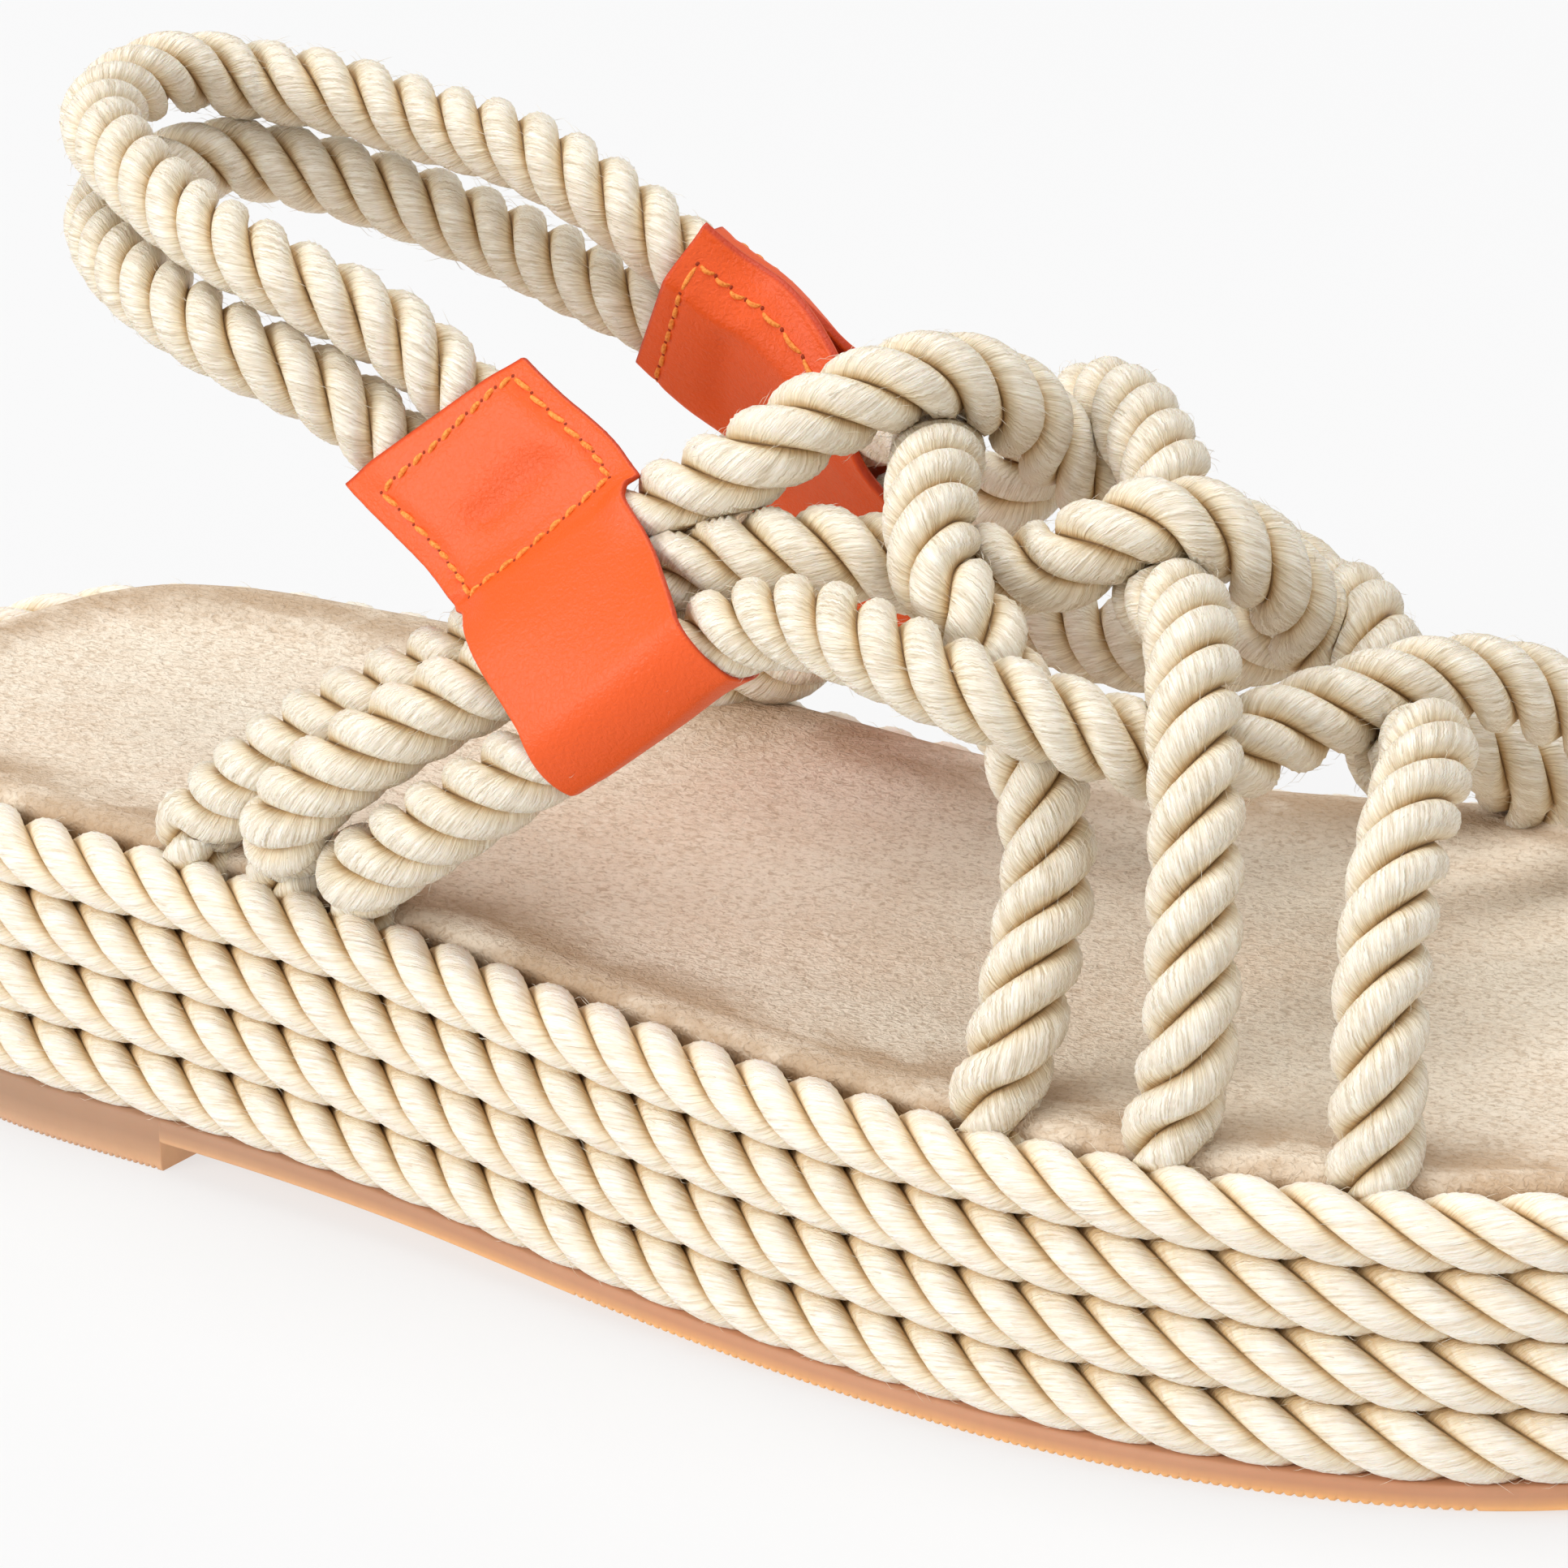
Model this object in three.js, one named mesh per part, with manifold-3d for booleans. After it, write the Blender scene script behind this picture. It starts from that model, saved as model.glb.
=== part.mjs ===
// Rope sandal, right shoe. A platform wrapped in four rows of rope carries a woven rope upper,
// two looped leather tabs and a doubled rope slingback.
// Millimetres. +X points to the toe, +Y to the inner side of the foot, +Z up, the ground is z = 0.
import * as THREE from 'three';
import { mergeVertices } from 'three/addons/utils/BufferGeometryUtils.js';
import Module from 'manifold-3d';

// Driving dimensions
const footbedLength = 248;
const ballWidth = 86;
const instepHeight = 54; // highest rope centre over the footbed's edge
const soleSheet = 2.4; // outsole under the forefoot
const heelBlock = 2.9; // extra height of the outsole's heel block
const heelBlockLength = 57; // measured from the back of the footbed
const toeSpring = 5;
const outsoleReach = 5.2; // outsole edge outside the footbed's edge
const soleRopeRadius = 3.2;
const soleRopeRows = 4;
const footbedThickness = 3.4;
const footbedProud = 0.8; // footbed over the top rope row
const footbedEdgeRound = 1.4;
const footbedDish = 0.9; // how far the middle of the heel sinks
const upperRopeRadius = 4.25;
const slingRopeRadius = 3.85;
const leather = 1.3;
const tabWidth = 22.5; // at its stitched ends
const tabLoopWidth = 20.5; // where it wraps the ropes
const leatherSlack = 0.5; // play of the leather round the ropes
const seam = 0.3; // clearance between neighbouring pieces
const slingPitch = 8.6; // distance between the two slingback ropes inside a tab
const heelRestBack = 26; // heel rest point, measured from the back of the footbed

// Shares of the footbed's length at which the heel's slope starts and ends, and the toe lifts
const slopeStart = 0.25;
const slopeEnd = 0.6;
const springStart = 0.82;

// Shares of the length between which the footbed's spine runs and its dish fades out
const spineStart = 0.12;
const spineEnd = 0.86;
const dishStart = 0.2;
const dishEnd = 0.75;

// The footbed's top: how far inwards of its edge it has sunk by which share of the dish
const dishRows = [
  { inwards: 0.4, sunk: 0.7 },
  { inwards: 0.9, sunk: 1 },
];

// Mesh density
const outlineSteps = 48;
const slopeSteps = 8;
const springSteps = 6;
const ropeSides = 8;
const upperStepLength = 8.2;
const slingStepLength = 8;
const tabSteps = 8;
const foldSteps = 5;
const spanSteps = 20;

// Footbed outline: share of the length from the heel, half widths as shares of the ball width
const outlineRows = [
  { along: 0.02, inner: 0.2, outer: 0.168 },
  { along: 0.07, inner: 0.284, outer: 0.274 },
  { along: 0.15, inner: 0.305, outer: 0.338 },
  { along: 0.25, inner: 0.308, outer: 0.365 },
  { along: 0.36, inner: 0.292, outer: 0.398 },
  { along: 0.47, inner: 0.3, outer: 0.446 },
  { along: 0.58, inner: 0.4, outer: 0.485 },
  { along: 0.68, inner: 0.493, outer: 0.505 },
  { along: 0.78, inner: 0.51, outer: 0.472 },
  { along: 0.88, inner: 0.436, outer: 0.366 },
  { along: 0.95, inner: 0.316, outer: 0.212 },
];
const heelAcross = -0.01;
const toeAcross = 0.07;

// Rope routes. along: share of the footbed's length from the heel. across: share of the ball
// width, outer side negative. height: share of the instep height over the footbed's edge.
// The first and last entries of a route are only roots: the share of the length where it enters
// the sole, on the given side.
const outerRoutes = {
  one: {
    from: 0.243,
    to: 0.665,
    rows: [
      { along: 0.256, across: -0.36, height: 0.14 },
      { along: 0.28, across: -0.368, height: 0.23 },
      { along: 0.318, across: -0.36, height: 0.35 },
      { along: 0.35, across: -0.338, height: 0.428 },
      { along: 0.377, across: -0.318, height: 0.505 },
      { along: 0.419, across: -0.29, height: 0.654, tab: true },
      { along: 0.461, across: -0.264, height: 0.807 },
      { along: 0.491, across: -0.237, height: 0.893 },
      { along: 0.508, across: -0.187, height: 0.953 },
      { along: 0.524, across: -0.129, height: 0.99 },
      { along: 0.536, across: -0.063, height: 0.988 },
      { along: 0.546, across: 0.002, height: 0.926 },
      { along: 0.547, across: 0.073, height: 0.812 },
      { along: 0.562, across: 0.152, height: 0.676 },
      { along: 0.593, across: 0.279, height: 0.528 },
      { along: 0.63, across: 0.378, height: 0.287 },
    ],
  },
  two: {
    from: 0.292,
    to: 0.733,
    rows: [
      { along: 0.305, across: -0.425, height: 0.167 },
      { along: 0.32, across: -0.437, height: 0.246 },
      { along: 0.349, across: -0.425, height: 0.348 },
      { along: 0.386, across: -0.387, height: 0.46 },
      { along: 0.433, across: -0.351, height: 0.572, tab: true },
      { along: 0.472, across: -0.288, height: 0.711 },
      { along: 0.5, across: -0.263, height: 0.739 },
      { along: 0.525, across: -0.233, height: 0.746 },
      { along: 0.559, across: -0.18, height: 0.711 },
      { along: 0.587, across: -0.165, height: 0.731 },
      { along: 0.606, across: -0.156, height: 0.747 },
      { along: 0.625, across: -0.135, height: 0.8 },
      { along: 0.643, across: -0.098, height: 0.826 },
      { along: 0.657, across: -0.062, height: 0.798 },
      { along: 0.666, across: -0.016, height: 0.72 },
      { along: 0.666, across: 0.045, height: 0.607 },
      { along: 0.669, across: 0.093, height: 0.463 },
      { along: 0.685, across: 0.198, height: 0.343 },
      { along: 0.71, across: 0.32, height: 0.204 },
    ],
  },
  three: {
    from: 0.333,
    to: 0.811,
    rows: [
      { along: 0.345, across: -0.435, height: 0.12 },
      { along: 0.367, across: -0.442, height: 0.191 },
      { along: 0.398, across: -0.436, height: 0.288 },
      { along: 0.427, across: -0.416, height: 0.383 },
      { along: 0.464, across: -0.386, height: 0.509, tab: true },
      { along: 0.501, across: -0.356, height: 0.639 },
      { along: 0.544, across: -0.366, height: 0.702 },
      { along: 0.584, across: -0.388, height: 0.696 },
      { along: 0.616, across: -0.393, height: 0.667 },
      { along: 0.638, across: -0.381, height: 0.641 },
      { along: 0.658, across: -0.353, height: 0.607 },
      { along: 0.674, across: -0.321, height: 0.569 },
      { along: 0.695, across: -0.253, height: 0.513 },
      { along: 0.707, across: -0.179, height: 0.541 },
      { along: 0.721, across: -0.106, height: 0.559 },
      { along: 0.733, across: -0.035, height: 0.569 },
      { along: 0.746, across: 0.037, height: 0.55 },
      { along: 0.757, across: 0.097, height: 0.506 },
      { along: 0.774, across: 0.187, height: 0.398 },
      { along: 0.794, across: 0.291, height: 0.228 },
    ],
  },
};
const innerRoutes = {
  one: {
    from: 0.225,
    to: 0.656,
    rows: [
      { along: 0.265, across: 0.312, height: 0.213 },
      { along: 0.307, across: 0.302, height: 0.382 },
      { along: 0.351, across: 0.276, height: 0.525 },
      { along: 0.391, across: 0.24, height: 0.635, tab: true },
      { along: 0.446, across: 0.166, height: 0.735 },
      { along: 0.493, across: 0.056, height: 0.813 },
      { along: 0.53, across: -0.064, height: 0.852 },
      { along: 0.552, across: -0.16, height: 0.857 },
      { along: 0.57, across: -0.235, height: 0.816 },
      { along: 0.584, across: -0.275, height: 0.761 },
      { along: 0.602, across: -0.291, height: 0.709 },
      { along: 0.628, across: -0.316, height: 0.548 },
      { along: 0.641, across: -0.337, height: 0.464 },
      { along: 0.653, across: -0.378, height: 0.346 },
      { along: 0.658, across: -0.43, height: 0.233 },
      { along: 0.66, across: -0.478, height: 0.115 },
    ],
  },
  two: {
    from: 0.273,
    to: 0.73,
    rows: [
      { along: 0.308, across: 0.31, height: 0.184 },
      { along: 0.345, across: 0.297, height: 0.319 },
      { along: 0.375, across: 0.28, height: 0.4 },
      { along: 0.404, across: 0.262, height: 0.464, tab: true },
      { along: 0.446, across: 0.236, height: 0.526 },
      { along: 0.484, across: 0.218, height: 0.596 },
      { along: 0.53, across: 0.21, height: 0.794 },
      { along: 0.56, across: 0.155, height: 0.839 },
      { along: 0.586, across: 0.098, height: 0.828 },
      { along: 0.61, across: 0.035, height: 0.793 },
      { along: 0.635, across: -0.09, height: 0.69 },
      { along: 0.667, across: -0.17, height: 0.715 },
      { along: 0.689, across: -0.247, height: 0.682 },
      { along: 0.705, across: -0.314, height: 0.61 },
      { along: 0.718, across: -0.367, height: 0.508 },
      { along: 0.726, across: -0.408, height: 0.395 },
      { along: 0.732, across: -0.442, height: 0.274 },
      { along: 0.735, across: -0.468, height: 0.15 },
    ],
  },
  three: {
    from: 0.32,
    to: 0.808,
    rows: [
      { along: 0.35, across: 0.311, height: 0.143 },
      { along: 0.38, across: 0.3, height: 0.244 },
      { along: 0.413, across: 0.282, height: 0.322, tab: true },
      { along: 0.444, across: 0.262, height: 0.36 },
      { along: 0.477, across: 0.244, height: 0.374 },
      { along: 0.527, across: 0.233, height: 0.352 },
      { along: 0.564, across: 0.225, height: 0.37 },
      { along: 0.601, across: 0.214, height: 0.42 },
      { along: 0.642, across: 0.186, height: 0.53 },
      { along: 0.679, across: 0.105, height: 0.561 },
      { along: 0.724, across: -0.029, height: 0.431 },
      { along: 0.764, across: -0.133, height: 0.535 },
      { along: 0.782, across: -0.241, height: 0.496 },
      { along: 0.791, across: -0.312, height: 0.426 },
      { along: 0.8, across: -0.38, height: 0.3 },
      { along: 0.807, across: -0.42, height: 0.185 },
    ],
  },
};

// Slingback routes, from inside the outer tab round the heel to inside the inner tab. The third
// entry and the last but two lie in the tabs' mouths.
const slingMouth = 2;
const slingRoutes = {
  upper: [
    { along: 0.399, across: -0.251, height: 0.767 },
    { along: 0.379, across: -0.236, height: 0.81 },
    { along: 0.359, across: -0.22, height: 0.855 },
    { along: 0.321, across: -0.227, height: 0.983 },
    { along: 0.274, across: -0.262, height: 1.084 },
    { along: 0.231, across: -0.244, height: 1.128 },
    { along: 0.174, across: -0.174, height: 1.18 },
    { along: 0.139, across: -0.093, height: 1.196 },
    { along: 0.125, across: 0, height: 1.203 },
    { along: 0.128, across: 0.081, height: 1.203 },
    { along: 0.146, across: 0.145, height: 1.17 },
    { along: 0.175, across: 0.174, height: 1.155 },
    { along: 0.219, across: 0.192, height: 1.12 },
    { along: 0.27, across: 0.186, height: 1.1 },
    { along: 0.312, across: 0.174, height: 1.047 },
    { along: 0.354, across: 0.173, height: 0.948 },
    { along: 0.366, across: 0.185, height: 0.89 },
    { along: 0.377, across: 0.198, height: 0.832 },
  ],
  lower: [
    { along: 0.373, across: -0.281, height: 0.674 },
    { along: 0.353, across: -0.266, height: 0.717 },
    { along: 0.333, across: -0.25, height: 0.762 },
    { along: 0.295, across: -0.268, height: 0.886 },
    { along: 0.251, across: -0.285, height: 0.956 },
    { along: 0.2, across: -0.244, height: 1.003 },
    { along: 0.16, across: -0.163, height: 1.02 },
    { along: 0.136, across: -0.08, height: 1.026 },
    { along: 0.127, across: 0.02, height: 1.028 },
    { along: 0.136, across: 0.112, height: 1.03 },
    { along: 0.163, across: 0.17, height: 1 },
    { along: 0.201, across: 0.207, height: 0.955 },
    { along: 0.245, across: 0.221, height: 0.905 },
    { along: 0.287, across: 0.21, height: 0.864 },
    { along: 0.334, across: 0.201, height: 0.814 },
    { along: 0.345, across: 0.213, height: 0.762 },
    { along: 0.356, across: 0.225, height: 0.71 },
  ],
};

// Shares of a tab's length at which it stops following the slingback and starts round the bundle
const slingShare = 0.25;
const bundleShare = 0.5;

// Points across a tab, as shares of half its width
const tabColumns = [-1, -0.8, -0.66, -0.38, 0, 0.38, 0.66, 0.8, 1];

const wasm = await Module();
wasm.setup();

function toSolid(geometry) {
  const bare = geometry.clone();
  bare.deleteAttribute('normal');
  bare.deleteAttribute('uv');
  const merged = mergeVertices(bare, 1e-4);
  return new wasm.Manifold(
    new wasm.Mesh({
      numProp: 3,
      vertProperties: new Float32Array(merged.attributes.position.array),
      triVerts: new Uint32Array(merged.index.array),
    }),
  );
}

function toGeometry(solid) {
  const { vertProperties, triVerts } = solid.getMesh();
  const geometry = new THREE.BufferGeometry();
  geometry.setAttribute('position', new THREE.BufferAttribute(vertProperties, 3));
  geometry.setIndex(new THREE.BufferAttribute(triVerts, 1));
  geometry.computeVertexNormals();
  return geometry;
}

// A closed body through rings of equal point counts. A looped body joins its last ring to its
// first, any other is capped at both ends.
function loft(rings, looped = false) {
  const count = rings[0].length;
  const positions = rings.flat().flatMap((p) => [p.x, p.y, p.z]);
  const index = [];
  const spans = looped ? rings.length : rings.length - 1;
  for (let i = 0; i < spans; i += 1) {
    const a = i * count;
    const b = ((i + 1) % rings.length) * count;
    for (let j = 0; j < count; j += 1) {
      const k = (j + 1) % count;
      index.push(a + j, a + k, b + k, a + j, b + k, b + j);
    }
  }
  if (!looped) {
    const last = (rings.length - 1) * count;
    for (const [a, b, c] of capTriangles(rings[0])) index.push(c, b, a);
    for (const [a, b, c] of capTriangles(rings.at(-1))) index.push(last + a, last + b, last + c);
  }
  const geometry = new THREE.BufferGeometry();
  geometry.setAttribute('position', new THREE.Float32BufferAttribute(positions, 3));
  geometry.setIndex(index);
  const solid = toSolid(geometry);
  if (solid.volume() > 0) return solid;
  geometry.setIndex(index.toReversed());
  return toSolid(geometry);
}

// Triangles over a ring, found in the plane that the ring lies closest to
function capTriangles(ring) {
  const normal = new THREE.Vector3();
  ring.forEach((p, i) => {
    const q = ring[(i + 1) % ring.length];
    normal.add(new THREE.Vector3().crossVectors(p, q));
  });
  normal.normalize();
  const turn = new THREE.Quaternion().setFromUnitVectors(normal, new THREE.Vector3(0, 0, 1));
  const flat = ring.map((p) => {
    const q = p.clone().applyQuaternion(turn);
    return new THREE.Vector2(q.x, q.y);
  });
  return THREE.ShapeUtils.triangulateShape(flat, []);
}

// Heights along the sole
function smooth(low, high, value) {
  const t = THREE.MathUtils.clamp((value - low) / (high - low), 0, 1);
  return t * t * (3 - 2 * t);
}

function sheetBottom(x) {
  const share = x / footbedLength;
  const spring = Math.max((share - springStart) / (1 - springStart), 0);
  return heelBlock * (1 - smooth(slopeStart, slopeEnd, share)) + toeSpring * spring * spring;
}

const sheetTop = (x) => sheetBottom(x) + soleSheet;
const rowPitch = 2 * soleRopeRadius + seam;
const rowCentre = (x, row) => sheetTop(x) + seam + soleRopeRadius + row * rowPitch;
const ropeRowsTop = (x) => rowCentre(x, soleRopeRows - 1) + soleRopeRadius;
const footbedTop = (x) => ropeRowsTop(x) + footbedProud;
const footbedBottom = (x) => footbedTop(x) - footbedThickness;
const edgeLevel = footbedTop(footbedLength * slopeEnd);

// A rope's section touches its own circle from both sides: this far out at its corners
const facetReach = 1 / Math.cos(Math.PI / ropeSides) ** 0.5;

// Outlines
const outlineCurve = new THREE.CatmullRomCurve3(
  [
    new THREE.Vector3(0, heelAcross * ballWidth, 0),
    ...outlineRows.map((r) => new THREE.Vector3(r.along * footbedLength, -r.outer * ballWidth, 0)),
    new THREE.Vector3(footbedLength, toeAcross * ballWidth, 0),
    ...outlineRows.toReversed().map(
      (r) => new THREE.Vector3(r.along * footbedLength, r.inner * ballWidth, 0),
    ),
  ],
  true,
  'centripetal',
);

// Points round the footbed's outline, moved outwards by the given offset
function footprint(offset, steps = outlineSteps) {
  return Array.from({ length: steps }, (_, i) => {
    const point = outlineCurve.getPointAt(i / steps);
    const tangent = outlineCurve.getTangentAt(i / steps);
    return new THREE.Vector3(point.x + tangent.y * offset, point.y - tangent.x * offset, 0);
  });
}

// The outline's side at a length: its distance from the middle line there
function halfWidth(x, side) {
  const rows = [{ along: 0, inner: 0, outer: 0 }, ...outlineRows, { along: 1, inner: 0, outer: 0 }];
  const share = x / footbedLength;
  const next = rows.findIndex((r) => r.along > share);
  const [a, b] = [rows[next - 1], rows[next]];
  const t = (share - a.along) / (b.along - a.along);
  const key = side > 0 ? 'inner' : 'outer';
  return THREE.MathUtils.lerp(a[key], b[key], t) * ballWidth;
}

// A plate with the footbed's outline between two height lines
function plate(offset, lower, upper, stations) {
  const prism = new THREE.ExtrudeGeometry(new THREE.Shape(footprint(offset)), {
    depth: footbedLength,
    bevelEnabled: false,
  });
  prism.translate(0, 0, -footbedLength / 2);
  const side = new THREE.Shape([
    ...stations.map((x) => new THREE.Vector2(x, lower(x))),
    ...stations.toReversed().map((x) => new THREE.Vector2(x, upper(x))),
  ]);
  const band = new THREE.ExtrudeGeometry(side, { depth: footbedLength, bevelEnabled: false });
  band.rotateX(Math.PI / 2);
  band.translate(0, footbedLength / 2, 0);
  return toSolid(prism).intersect(toSolid(band));
}

// Lengths at which the sole's side has points: close together only where it curves
function stations(reach) {
  const between = (low, high, count) =>
    Array.from({ length: count }, (_, i) => low + ((high - low) * i) / count);
  const slope = [...between(slopeStart, slopeEnd, slopeSteps), slopeEnd];
  const spring = between(springStart, 1, springSteps);
  const inside = [...slope, ...spring].map((share) => share * footbedLength);
  return [-reach, ...inside, footbedLength + reach];
}

// Outsole: a rubber sheet with a block under the heel
function outsole() {
  const sheet = plate(outsoleReach, sheetBottom, sheetTop, stations(2 * outsoleReach));
  const blockTop = heelBlock + soleSheet / 2;
  const block = plate(outsoleReach, () => 0, () => blockTop, [-2 * outsoleReach, heelBlockLength]);
  return sheet.add(block);
}

function midsole() {
  return plate(0, (x) => sheetTop(x) + seam, (x) => footbedBottom(x) - seam, stations(seam));
}

// One row of rope round the platform
function soleRopeRing(row, extra = 0) {
  const centres = footprint(seam + soleRopeRadius);
  const outward = footprint(seam + soleRopeRadius + 1).map((p, i) => p.sub(centres[i]));
  const rings = centres.map((c, i) => {
    return Array.from({ length: ropeSides }, (_, j) => {
      const angle = ((j + 0.5) / ropeSides) * 2 * Math.PI;
      const reach = (soleRopeRadius + extra) / Math.cos(Math.PI / ropeSides);
      const out = outward[i].clone().multiplyScalar(reach * Math.cos(angle));
      const x = c.x + out.x;
      return new THREE.Vector3(x, c.y + out.y, rowCentre(x, row) + reach * Math.sin(angle));
    });
  });
  return loft(rings, true);
}

// Footbed: padded board with rounded edges and a dished heel. Its rings shrink towards a spine.
function footbed() {
  const edge = footprint(-seam / 2);
  const spine = edge.map((p) => {
    const x = THREE.MathUtils.clamp(p.x, spineStart * footbedLength, spineEnd * footbedLength);
    return new THREE.Vector3(x, (halfWidth(x, 1) - halfWidth(x, -1)) / 2, 0);
  });
  const ring = (share, inset, height) =>
    edge.map((p, i) => {
      const toSpine = spine[i].clone().sub(p);
      const q = p.clone().addScaledVector(toSpine, inset / toSpine.length() + share);
      return q.setZ(height(q.x));
    });
  const dish = (x) => footbedDish * (1 - smooth(dishStart, dishEnd, x / footbedLength));
  const blank = loft([
    ring(0, 0, (x) => footbedBottom(x) - seam),
    ring(0, 0, (x) => footbedTop(x) - footbedEdgeRound),
    ring(0, footbedEdgeRound, (x) => footbedTop(x)),
    ...dishRows.map((row) => ring(row.inwards, 0, (x) => footbedTop(x) - row.sunk * dish(x))),
  ]);
  return blank.intersect(
    plate(outsoleReach, footbedBottom, (x) => footbedTop(x) + footbedThickness, stations(seam)),
  );
}

// Ropes
function place(row) {
  return new THREE.Vector3(
    row.along * footbedLength,
    row.across * ballWidth,
    edgeLevel + row.height * instepHeight,
  );
}

// The tucked end of a rope: over the footbed's rim, then down into it. Insets and the rise are
// shares of the rope's radius, the depth is a share of the footbed's thickness.
const rootRim = { inset: 0.2, rise: 0.5 };
const rootTuck = { inset: 0.5, depth: 0.35 };

function rootPoints(along, side) {
  const x = along * footbedLength;
  const rim = side * (halfWidth(x, side) - rootRim.inset * upperRopeRadius);
  const tucked = side * (halfWidth(x, side) - rootTuck.inset * upperRopeRadius);
  return [
    new THREE.Vector3(x, rim, footbedTop(x) + rootRim.rise * upperRopeRadius),
    new THREE.Vector3(x, tucked, footbedTop(x) - rootTuck.depth * footbedThickness),
  ];
}

function routePoints(route, fromSide) {
  return [
    ...rootPoints(route.from, fromSide).toReversed(),
    ...route.rows.map(place),
    ...rootPoints(route.to, -fromSide),
  ];
}

function ropeSolid(path, radius, stepLength) {
  const reach = radius * facetReach;
  const section = new THREE.Shape(
    Array.from({ length: ropeSides }, (_, i) => {
      const angle = (i / ropeSides) * 2 * Math.PI;
      return new THREE.Vector2(reach * Math.cos(angle), reach * Math.sin(angle));
    }),
  );
  const geometry = new THREE.ExtrudeGeometry(section, {
    steps: Math.max(Math.round(path.getLength() / stepLength), 1),
    extrudePath: path,
    bevelEnabled: false,
  });
  return toSolid(geometry);
}

const ropePath = (points) => new THREE.CatmullRomCurve3(points, false, 'centripetal');

// The room that a rope takes in its neighbours: the rope and its clearance, past its ends too
function ropeRoom(path, radius, stepLength) {
  const stubs = [0, 1].map((end) => {
    const point = path.getPoint(end);
    const way = path.getTangent(end).multiplyScalar(end ? seam : -seam);
    const stub = new THREE.LineCurve3(point.clone().sub(way), point.clone().add(way));
    return ropeSolid(stub, radius + 2 * seam, stepLength);
  });
  return stubs.reduce((all, stub) => all.add(stub), ropeSolid(path, radius + seam, stepLength));
}

const upperPaths = [
  ...Object.values(outerRoutes).map((route) => ropePath(routePoints(route, -1))),
  ...Object.values(innerRoutes).map((route) => ropePath(routePoints(route, 1))),
];
const slingPaths = {
  upper: ropePath(slingRoutes.upper.map(place)),
  lower: ropePath(slingRoutes.lower.map(place)),
};

// Leather tabs. A band runs down over a bundle of three ropes, folds under it and comes back up,
// and its two ends hold the slingback ropes between them. The band's middle surface runs through
// the ropes: each rope that it wraps gives one line across the tab.
function lineAlongRope(route, fromSide) {
  const points = routePoints(route, fromSide);
  const path = ropePath(points);
  const marked = rootPoints(route.from, fromSide).length + route.rows.findIndex((row) => row.tab);
  const lengths = path.getLengths(spanSteps * (points.length - 1));
  const centre = lengths[spanSteps * marked] / lengths.at(-1);
  const half = tabLoopWidth / 2 / lengths.at(-1);
  return tabColumns.map((share) => path.getPointAt(centre + share * half));
}

// The line across a tab through the two slingback ropes, at an entry counted from their ends
function lineAcrossSling(entry, side) {
  const index = side > 0 ? -1 - entry : entry;
  const [above, below] = [slingRoutes.upper, slingRoutes.lower].map((rows) => place(rows.at(index)));
  const middle = above.clone().lerp(below, 0.5);
  const across = above.clone().sub(below).normalize();
  return tabColumns.map((share) => middle.clone().addScaledVector(across, (share * tabWidth) / 2));
}

function tabLines(routes, side) {
  return [
    lineAcrossSling(slingMouth, side),
    lineAcrossSling(0, side),
    ...Object.values(routes).map((route) => lineAlongRope(route, side)),
  ];
}

// Half the gap between a tab's two layers where it holds the slingback ropes
function slingGap(share) {
  const reach = slingRopeRadius * facetReach + seam + leatherSlack;
  const offCentre = Math.max((Math.abs(share) * tabWidth) / 2 - slingPitch / 2, 0);
  return Math.sqrt(Math.max(reach ** 2 - offCentre ** 2, seam ** 2));
}

function tab(routes, side) {
  const lines = tabLines(routes, side);
  const columns = tabColumns.map((_, j) => ropePath(lines.map((line) => line[j])));
  const rows = Array.from({ length: tabSteps + 1 }, (_, i) => {
    const t = i / tabSteps;
    const points = columns.map((column) => column.getPoint(t));
    const bundle = smooth(slingShare, bundleShare, t);
    return points.map((at, j) => {
      const down = columns[j].getTangent(t);
      const way = points[Math.min(j + 1, points.length - 1)].clone().sub(points[Math.max(j - 1, 0)]);
      const out = new THREE.Vector3().crossVectors(way, down).multiplyScalar(side).normalize();
      const ropeGap = upperRopeRadius * facetReach + seam + leatherSlack;
      return { at, down, out, gap: THREE.MathUtils.lerp(slingGap(tabColumns[j]), ropeGap, bundle) };
    });
  });
  const ring = (row, angle) => {
    const skin = (extra) =>
      row.map(({ at, down, out, gap }) =>
        at
          .clone()
          .addScaledVector(out, Math.cos(angle) * (gap + extra))
          .addScaledVector(down, Math.sin(angle) * (gap + extra)),
      );
    return [...skin(leather), ...skin(0).toReversed()];
  };
  const fold = Array.from({ length: foldSteps - 1 }, (_, i) => ((i + 1) / foldSteps) * Math.PI);
  return loft([
    ...rows.map((row) => ring(row, 0)),
    ...fold.map((angle) => ring(rows.at(-1), angle)),
    ...rows.toReversed().map((row) => ring(row, Math.PI)),
  ]);
}

// Materials
const gumRubber = new THREE.MeshStandardMaterial({ color: 0xc68f62, roughness: 0.55, metalness: 0 });
const board = new THREE.MeshStandardMaterial({ color: 0xa9683c, roughness: 0.8, metalness: 0 });
const soleCord = new THREE.MeshStandardMaterial({ color: 0xd9c8a6, roughness: 0.7, metalness: 0 });
const upperCord = new THREE.MeshStandardMaterial({ color: 0xdccdb0, roughness: 0.6, metalness: 0 });
const suede = new THREE.MeshStandardMaterial({ color: 0xd8bfa3, roughness: 0.95, metalness: 0 });
const orangeLeather = new THREE.MeshStandardMaterial({ color: 0xe8562a, roughness: 0.45, metalness: 0 });

// Assembly
const sandal = new THREE.Group();
sandal.position.x = -heelRestBack;

function addPiece(name, solid, material) {
  const mesh = new THREE.Mesh(toGeometry(solid), material);
  mesh.name = name;
  sandal.add(mesh);
}

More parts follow.
